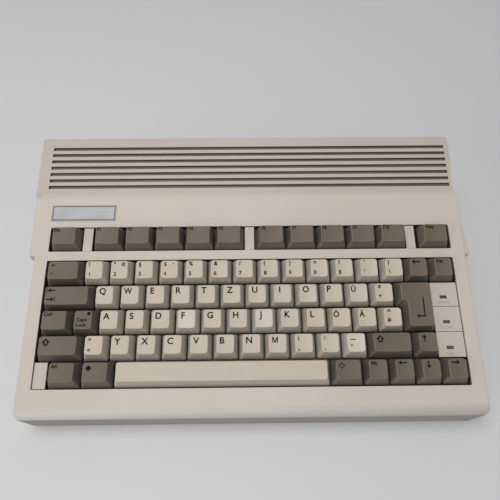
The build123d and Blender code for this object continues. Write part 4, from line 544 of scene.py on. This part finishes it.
BUTTON_PLASTIC = moulded("button_plastic", linear(198, 186, 172), linear(202, 190, 178), roughness=0.46)
FOOT_RUBBER = rubber("foot_rubber", linear(52, 50, 48))
DOME_RUBBER = rubber("dome_rubber", linear(150, 148, 142))
FINISHES = (
    (case_plastic(), ("top_case", "bottom_case", "trapdoor_cover")),
    (field_plastic(), ("keyboard_frame",)),
    (lens_finish(), ("status_lenses",)),
    (badge_plate(), ("badge_plate",)),
    (BUTTON_PLASTIC, ("drive_eject_button",)),
    (FOOT_RUBBER, ("rubber_feet",)),
    (DOME_RUBBER, ("key_domes",)),
    (SCREW_STEEL, ("case_screws", "port_jack_screws")),
    (PLATE_STEEL, ("keyboard_backplate", "shield_plate", "drive_chassis", "drive_cover", "drive_spindle")),
    (port_metal(), ("external_drive_port", "serial_port", "parallel_port", "video_port", "joystick_ports")),
    (CAN_METAL, ("capacitors",)),
    (circuit_board(), ("motherboard", "status_lamp_board")),
    (CHIP_BLACK, ("logic_chips", "memory_chips")),
    (SOCKET_BLACK, ("power_socket", "card_slot", "head_carriage")),
    (FILM, ("keyboard_membrane", "keyboard_ribbon", "drive_ribbon")),
    (jack_finish(), ("audio_jacks",)),
    (modulator_finish(), ("video_modulator",)),
)


def is_key(node):
    return node.endswith(("_key", "_keys")) or node.startswith("function_keys") or node == "space_bar"


def key_slot(node):
    """The material slot of a key."""
    return "key_light" if node in LIGHT_KEYS else "key_dark"


def dress(node, material):
    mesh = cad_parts[node].data
    mesh.materials.clear()
    mesh.materials.append(material)


for material, nodes in FINISHES:
    for node in nodes:
        dress(node, material)
for node in filter(is_key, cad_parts):
    dress(node, KEY_FINISHES[key_slot(node)])

# ---- Legends printed on the caps: how their flat shapes are made ----
PRINT_PROUD = 0.035             # of the cap's surface
PRINT_SUNK = 0.06
CUT_STEP = 1.1                  # legends are cut into strips this wide, so that they follow the dish
CUT_REACH = 30.0                # to both sides of a legend's origin
CUT_TOLERANCE = 1e-4
DROP_W = 40.0                   # they are dropped on the caps from this height
HALF_THICKNESS = 0.05
WELD_DISTANCE = 1e-5
DISC_SIDES = 20
LETTER = 4.4                    # heights
UMLAUT = 3.9
MARK = 2.9
ASTERISK = 1.3 * MARK
SMALL = 2.5
LAMP_WORD = 1.9
DIGIT_STROKE = 0.48
LETTER_WEIGHT = 0.026           # how much bolder than the font, for a height of one
MARK_WEIGHT = 0.032
THIN_MARK_WEIGHT = 0.05
WORD_WEIGHT = 0.034
LAMP_WORD_WEIGHT = 0.028
# Font outlines that run into themselves when made bolder than this:
WEIGHT_LIMIT = {"$": 0.018, "9": 0.018, "*": 0.024, "%": 0.03, "§": 0.03, "e": 0.033, "Ö": 0.034, "&": 0.04}


def ink(name, colour):
    """Dull print, worn paler in small spots."""
    f = Finish(name)
    worn = f.spots(f.noise(1500.0, detail=3.0, roughness=0.7), 0.55, 0.75, strength=0.25)
    base = f.mix(worn, colour, scaled(colour, 2.0))
    return f.finish(Base_Color=base, Roughness=f.span(worn, 0.0, 0.25, 0.75, 0.9), Specular_IOR_Level=0.15)


def linked(name, data):
    """A new object in the scene."""
    obj = bpy.data.objects.new(name, data)
    bpy.context.scene.collection.objects.link(obj)
    return obj


def flat_mesh(curve, scale, flush=True):
    """Thin closed mesh of a filled curve, its left end at zero if flush. Its two faces are at z 1 and -1."""
    curve.extrude = HALF_THICKNESS
    holder = linked("curve", curve)
    bpy.context.view_layer.update()
    mesh = bpy.data.meshes.new_from_object(holder.evaluated_get(bpy.context.evaluated_depsgraph_get()))
    bpy.data.objects.remove(holder)
    work = bmesh.new()
    work.from_mesh(mesh)
    bmesh.ops.remove_doubles(work, verts=work.verts, dist=WELD_DISTANCE)
    left = min(vert.co.x for vert in work.verts) if flush else 0.0
    for vert in work.verts:
        side = 1.0 if vert.co.z > 0 else -1.0
        vert.co = Vector(((vert.co.x - left) * scale[0], vert.co.y * scale[1], side))
    return work


def font_curve(text, weight=0.0):
    curve = bpy.data.curves.new("word", "FONT")
    curve.body = text
    curve.size = 1.0
    curve.resolution_u = 5
    curve.offset = weight
    return curve


def capital_height():
    """Height of a capital in the font at size 1."""
    holder = linked("measure", font_curve("H"))
    bpy.context.view_layer.update()
    height = holder.dimensions.y
    bpy.data.objects.remove(holder)
    return height


CAPITAL = capital_height()


def letters(text, height, weight, stretch=1.0):
    """A word with its lower left corner at the origin, no bolder than keeps its outlines apart."""
    scale = height / CAPITAL
    weight = min([weight] + [WEIGHT_LIMIT[letter] for letter in text if letter in WEIGHT_LIMIT])
    return flat_mesh(font_curve(text, weight), (scale * stretch, scale))


def figure(*loops):
    """A filled shape from closed outlines in millimetres; an outline inside another is a hole."""
    curve = bpy.data.curves.new("figure", "CURVE")
    curve.dimensions = "2D"
    curve.fill_mode = "BOTH"
    for loop in loops:
        spline = curve.splines.new("POLY")
        spline.points.add(len(loop) - 1)
        for point, (x, y) in zip(spline.points, loop):
            point.co = (x, y, 0.0, 1.0)
        spline.use_cyclic_u = True
    return flat_mesh(curve, (1.0, 1.0), False)


def arrow(length, angle, x=0.0, y=0.0, width=0.95, head=2.2):
    """Outline of an arrow from x, y along an angle in degrees."""
    half, spread, neck = width / 2, 1.7, length - head
    points = [(0, half), (0, -half), (neck, -half), (neck, -spread), (length, 0),
              (neck, spread), (neck, half)]
    turn = Matrix.Rotation(math.radians(angle), 2)
    return [tuple(turn @ Vector(point) + Vector((x, y))) for point in points]


def stop_bar(x):
    """Outline of the upright stroke at the end of a tab arrow."""
    half_width, half_height = 0.3, 1.5
    return [(x - half_width, -half_height), (x + half_width, -half_height),
            (x + half_width, half_height), (x - half_width, half_height)]


def disc(radius):
    step = 2 * math.pi / DISC_SIDES
    return [(radius * math.cos(i * step), radius * math.sin(i * step)) for i in range(DISC_SIDES)]


def up_arrow(middle, half_stem, half_head, foot, neck, tip):
    """Outline of an upright arrow with a wide stem."""
    left, right = middle - half_stem, middle + half_stem
    return [(left, foot), (right, foot), (right, neck), (middle + half_head, neck), (middle, tip),
            (middle - half_head, neck), (left, neck)]


def hollow_arrow():
    """The outlined upward arrow of the shift keys."""
    middle = 3.2
    outer = up_arrow(middle, half_stem=1.6, half_head=3.2, foot=0.4, neck=2.4, tip=5.6)
    inner = up_arrow(middle, half_stem=0.65, half_head=0.9, foot=1.35, neck=3.35, tip=4.25)
    return figure(outer, inner)


def return_arrow():
    """The arrow down and to the left on the return key."""
    width, height, stroke = 6.7, 15.6, 0.95
    head, spread, tip, foot = 2.2, 1.5, 1.3, 0.8
    return figure([(0.0, tip), (head, tip - spread), (head, foot), (width, foot), (width, height),
                   (width - stroke, height), (width - stroke, foot + stroke), (head, foot + stroke),
                   (head, tip + spread)])


def letter_m():
    """A capital M with straight strokes."""
    height, width, stroke = LETTER, 4.1, 0.72
    middle, slant, shoulder = width / 2, 1.25 * stroke, 0.62 * height
    return figure([(0, 0), (0, height), (slant, height), (middle, 1.6 * stroke), (width - slant, height),
                   (width, height), (width, 0), (width - stroke, 0), (width - stroke, shoulder),
                   (middle + stroke / 2, 0), (middle - stroke / 2, 0), (stroke, shoulder), (stroke, 0)])


def digit_one():
    """A figure 1 with a slanting flag."""
    height, stroke = MARK, DIGIT_STROKE
    stem, flag = 1.8 * stroke, height - 0.9
    return figure([(stem, 0), (stem + stroke, 0), (stem + stroke, height), (stem + 0.3 * stroke, height),
                   (0.3 * stroke, flag), (0.3 * stroke, flag - stroke), (stem, flag)])


def digit_four():
    """A figure 4 with a closed corner."""
    height, stroke = MARK, DIGIT_STROKE
    stem, low = 0.44 * height, 0.2 * height
    high, end = low + stroke, stem + stroke
    reach = end + 0.45 * stroke
    outer = [(stem, 0), (stem, low), (0, low), (0, high), (stem, height), (end, height), (end, high),
             (reach, high), (reach, low), (end, low), (end, 0)]
    inner = [(1.25 * stroke, high), (stem, high), (stem, height - 1.6 * stroke)]
    return figure(outer, inner)


def square(half_diagonal, middle):
    """Outline of a square that stands on a corner."""
    corners = ((half_diagonal, 0), (0, half_diagonal), (-half_diagonal, 0), (0, -half_diagonal))
    return [(middle + x, middle + y) for x, y in corners]


def diamond(hollow):
    """The neutral sign of the two command keys."""
    size, hole = 2.3, 0.62
    loops = [square(size, size), square(hole * size, size)]
    return figure(*loops) if hollow else figure(loops[0])


class Printer:
    """Lays flat legends on one body's caps and gathers them in one piece."""

    def __init__(self, node):
        self.node = node
        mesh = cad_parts[node].data
        self.tree = BVHTree.FromPolygons([vert.co.copy() for vert in mesh.vertices],
                                         [tuple(face.vertices) for face in mesh.polygons])
        self.verts, self.faces = [], []

    def put(self, work, x, v):
        """Adds a flat mesh whose origin lies at deck place x, v."""
        for cut in np.arange(-CUT_REACH, CUT_REACH, CUT_STEP):
            geometry = list(work.verts) + list(work.edges) + list(work.faces)
            bmesh.ops.bisect_plane(work, geom=geometry, plane_co=(cut, 0, 0), plane_no=(1, 0, 0),
                                   dist=CUT_TOLERANCE)
        work.verts.ensure_lookup_table()
        work.verts.index_update()
        start = len(self.verts)
        for vert in work.verts:
            hit = self.tree.ray_cast(deck_place(x + vert.co.x, v + vert.co.y, DROP_W), -DECK_NORMAL)[0]
            if hit is None:
                raise RuntimeError(f"a legend on {self.node} lies off its cap")
            self.verts.append(hit + MM * (PRINT_PROUD if vert.co.z > 0 else -PRINT_SUNK) * DECK_NORMAL)
        for face in work.faces:
            self.faces.append([start + vert.index for vert in face.verts])
        work.free()

    def piece(self, material, slot, body):
        """Makes the piece of all legends that were put; it moves with the body."""
        mesh = bpy.data.meshes.new(f"legend_{self.node}")
        mesh.from_pydata([tuple(point) for point in self.verts], [], self.faces)
        mesh.materials.append(material)
        mesh.validate()
        obj = linked(f"legend_{self.node}", mesh)
        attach(obj, body)


# ---- What is printed where: right and down are counted from the upper left corner of a key's top ----
LETTER_ROWS = {
    "top_letter_keys": (2.0, 4, "QWERTZUIOPÜ"),
    "home_letter_keys": (2.25, 3, "ASDFGHJKLÖÄ"),
    "bottom_letter_keys": (2.75, 2, "YXCVBNM"),
}
LETTER_DOWN = {4: 1.3, 3: 1.8, 2: 1.8}      # to the letters' tops, by row
LETTER_RIGHT = 2.3
OTHER_RIGHT = {"I": 3.6, "J": 2.6, "A": 1.9, "V": 1.9, "Y": 1.9, "W": 1.5, "P": 1.4,
               "Ü": 0.5, "Ä": 0.4, "Ö": 0.3}
NARROWED = {"W": 0.84, "Q": 0.94, "O": 0.94}
UMLAUTS = "ÜÖÄ"
MARK_ROWS = (
    # node, place of the first key, row, pairs of upper and lower mark
    ("number_keys", 1.5, 5, [("!", "1"), ("\"", "2"), ("§", "3"), ("$", "4"), ("%", "5"), ("&", "6"),
                             ("/", "7"), ("(", "8"), (")", "9"), ("=", "0"), ("?", "ß"), ("`", "´"),
                             ("|", "\\")]),
    ("top_letter_keys", 13.0, 4, [("*", "+")]),
    ("home_letter_keys", 13.25, 3, [("^", "#")]),
    ("bottom_letter_keys", 1.75, 2, [(">", "<")]),
    ("bottom_letter_keys", 9.75, 2, [(";", ","), (":", "."), ("_", "-")]),
    ("backquote_key", 0.0, 5, [("~", "`")]),
)
MARK_RIGHT = 2.0
UPPER_MARK = 1.0                # down to the marks' tops
LOWER_MARK = 8.6
MARK_LIFT = {"-": 2.2, "#": 1.5, "+": 1.0}
THIN_MARKS = ".,;:`´~-_"
WIDE_MARKS = "_^"
WIDE_STRETCH = 1.5
WORDS = (
    ("escape_key", 0.0, 6, "Esc"),
    ("help_key", 15.25, 6, "Help"),
    ("delete_key", 15.5, 5, "Del"),
    ("control_key", 0.0, 3, "Ctrl"),
    ("left_alt_key", 0.5, 1, "Alt"),
    ("right_alt_key", 12.5, 1, "Alt"),
    *(("function_keys_left", 1.75 + 1.25 * i, 6, f"F{i + 1}") for i in range(5)),
    *(("function_keys_right", 8.5 + 1.25 * i, 6, f"F{i + 6}") for i in range(5)),
)
WORD_MARGIN = 0.9
SIGNS = (
    # node, place of the key, row, right, down, flat mesh
    ("number_keys", 2.5, 5, 7.6, UPPER_MARK + 2.4, letters("@", 2.2, 0.025)),
    ("number_keys", 4.5, 5, 9.2, UPPER_MARK + 1.5, figure(disc(0.5))),
    ("caps_lock_key", 1.25, 3, 1.6, 5.2 + SMALL, letters("Caps", SMALL, WORD_WEIGHT)),
    ("caps_lock_key", 1.25, 3, 1.6, 8.9 + SMALL, letters("Lock", SMALL, WORD_WEIGHT)),
    ("caps_lock_key", 1.25, 3, 10.2, 1.9, figure(disc(1.35))),
    ("tab_key", 0.0, 4, 1.2, 2.6, figure(stop_bar(0.0), arrow(5.6, 180, 6.1))),
    ("tab_key", 0.0, 4, 1.2, 9.4, figure(stop_bar(6.1), arrow(5.6, 0))),
    ("backspace_key", 14.5, 5, 1.4, 2.6, figure(arrow(6.6, 180, 6.6, width=1.0, head=2.4))),
    ("left_shift_key", 0.0, 2, 1.6, 6.9, hollow_arrow()),
    ("right_shift_key", 12.75, 2, 1.6, 6.9, hollow_arrow()),
    ("left_command_key", 1.75, 1, 1.8, 6.0, diamond(hollow=False)),
    ("right_command_key", 11.25, 1, 1.8, 6.0, diamond(hollow=True)),
    ("cursor_up_key", 14.5, 2, 3.9, 6.4, figure(arrow(5.2, 90))),
    ("cursor_left_key", 13.5, 1, 1.9, 2.2, figure(arrow(6.2, 180, 6.2))),
    ("cursor_down_key", 14.5, 1, 4.6, 0.9, figure(arrow(5.4, -90))),
    ("cursor_right_key", 15.5, 1, 1.9, 2.2, figure(arrow(6.2, 0))),
    ("return_key", 14.25, 3, 5.0, 7.4, return_arrow()),
)
LAMP_WORDS = (("POWER", 4), ("FLOPPY", 3), ("DISK", 2))     # word and row
LAMP_UNITS = 16.0               # middle of the lamp field
LENS_DROP = 2.2                 # lens in front of its row's middle
LAMP_WORD_DROP = 5.2            # lens to the word's foot
printers = {}


def printer(node):
    if node not in printers:
        printers[node] = Printer(node)
    return printers[node]


def put(node, units, row, right, down, work):
    """Prints a flat mesh with its origin right of and below the upper left corner of a key's top."""
    left = unit_x(units) + KEY_PITCH / 2 - CAP_HALF_WIDTH
    rear = row_middle(row) + CAP_LEAN[row] + CAP_HALF_DEPTH
    printer(node).put(work, left + right, rear - down)


def letter_shape(letter):
    """The flat mesh of a letter."""
    if letter == "M":
        return letter_m()
    height = UMLAUT if letter in UMLAUTS else LETTER
    return letters(letter, height, LETTER_WEIGHT, NARROWED.get(letter, 1.0))


def mark_shape(mark, size):
    """The flat mesh of a digit or a mark."""
    drawn = {"1": digit_one, "4": digit_four}.get(mark)
    if drawn:
        return drawn()
    weight = THIN_MARK_WEIGHT if mark in THIN_MARKS else MARK_WEIGHT
    return letters(mark, size, weight, WIDE_STRETCH if mark in WIDE_MARKS else 1.0)


for node, (first, row, word) in LETTER_ROWS.items():
    for index, letter in enumerate(word):
        right = OTHER_RIGHT.get(letter, LETTER_RIGHT)
        put(node, first + index, row, right, LETTER_DOWN[row] + LETTER, letter_shape(letter))
for node, first, row, pairs in MARK_ROWS:
    for index, pair in enumerate(pairs):
        for mark, down in zip(pair, (UPPER_MARK, LOWER_MARK)):
            size = ASTERISK if mark == "*" else MARK
            foot = down + size - MARK_LIFT.get(mark, 0.0)
            put(node, first + index, row, MARK_RIGHT, foot, mark_shape(mark, size))
for node, units, row, word in WORDS:
    put(node, units, row, WORD_MARGIN, WORD_MARGIN + SMALL, letters(word, SMALL, WORD_WEIGHT))
for sign in SIGNS:
    put(*sign)
for word, row in LAMP_WORDS:
    shape = letters(word, LAMP_WORD, LAMP_WORD_WEIGHT)
    width = max(vert.co.x for vert in shape.verts)
    foot = row_middle(row) - LENS_DROP - LAMP_WORD_DROP
    printer("keyboard_frame").put(shape, unit_x(LAMP_UNITS) - width / 2, foot)

ink_black = ink("ink", INK_BLACK)
ink_pale = ink("ink_pale", INK_PALE)
for node, item in printers.items():
    if is_key(node):
        item.piece(ink_black, key_slot(node), node)
    else:
        item.piece(ink_pale, "field_plastic", "case")

# ---- Table, lights and camera, in metres ----
TABLE_REACH = 4.0
WORLD_COLOUR = (0.98, 0.985, 1.0, 1.0)
WORLD_STRENGTH = 0.34
CAMERA_PLACE = (-0.00291, -0.16673, 0.36473)
CAMERA_TURN = (28.569, -0.126, -0.657)      # degrees about X, Y and Z
CAMERA_LENS = 32.208
CAMERA_SENSOR = 36.0


def table_finish():
    """Nearly white paint."""
    f = Finish("table")
    base = f.mix(f.cloud(1.2, spread=0.2), *TABLE_WHITE)
    return f.finish(Base_Color=base, Roughness=0.6, Normal=f.bump(f.noise(400.0), strength=0.02, depth=0.2))


def area_light(name, location, target, size, energy, colour):
    """A rectangular light that looks at a target; size in metres, energy in watts."""
    light = bpy.data.lights.new(name, "AREA")
    light.shape = "RECTANGLE"
    light.size, light.size_y = size
    light.energy = energy
    light.color = colour
    obj = linked(name, light)
    obj.location = location
    obj.rotation_euler = (Vector(target) - Vector(location)).to_track_quat("-Z", "Y").to_euler()


corners = [(x * TABLE_REACH, y * TABLE_REACH, 0) for x, y in ((-1, -1), (1, -1), (1, 1), (-1, 1))]
table_mesh = bpy.data.meshes.new("table")
table_mesh.from_pydata(corners, [], [(0, 1, 2, 3)])
table_mesh.materials.append(table_finish())
table = linked("table", table_mesh)

area_light("ceiling", (-0.22, -0.1, 1.3), target=(0, 0, 0.03), size=(0.9, 0.6), energy=9.3,
           colour=(1.0, 0.995, 0.985))
area_light("window", (-1.2, -0.7, 0.6), target=(-0.1, -0.1, 0.03), size=(0.9, 0.7), energy=2.6,
           colour=(0.97, 0.985, 1.0))

world = bpy.data.worlds.new("studio")
world.use_nodes = True
background = world.node_tree.nodes["Background"]
background.inputs["Color"].default_value = WORLD_COLOUR
background.inputs["Strength"].default_value = WORLD_STRENGTH
bpy.context.scene.world = world
bpy.context.scene.view_settings.view_transform = "Standard"

camera_data = bpy.data.cameras.new("camera")
camera_data.sensor_width = CAMERA_SENSOR
camera_data.lens = CAMERA_LENS
camera_data.clip_start = 0.01
camera = linked("camera", camera_data)
camera.location = CAMERA_PLACE
camera.rotation_euler = Euler([math.radians(angle) for angle in CAMERA_TURN], "XYZ")
bpy.context.scene.camera = camera
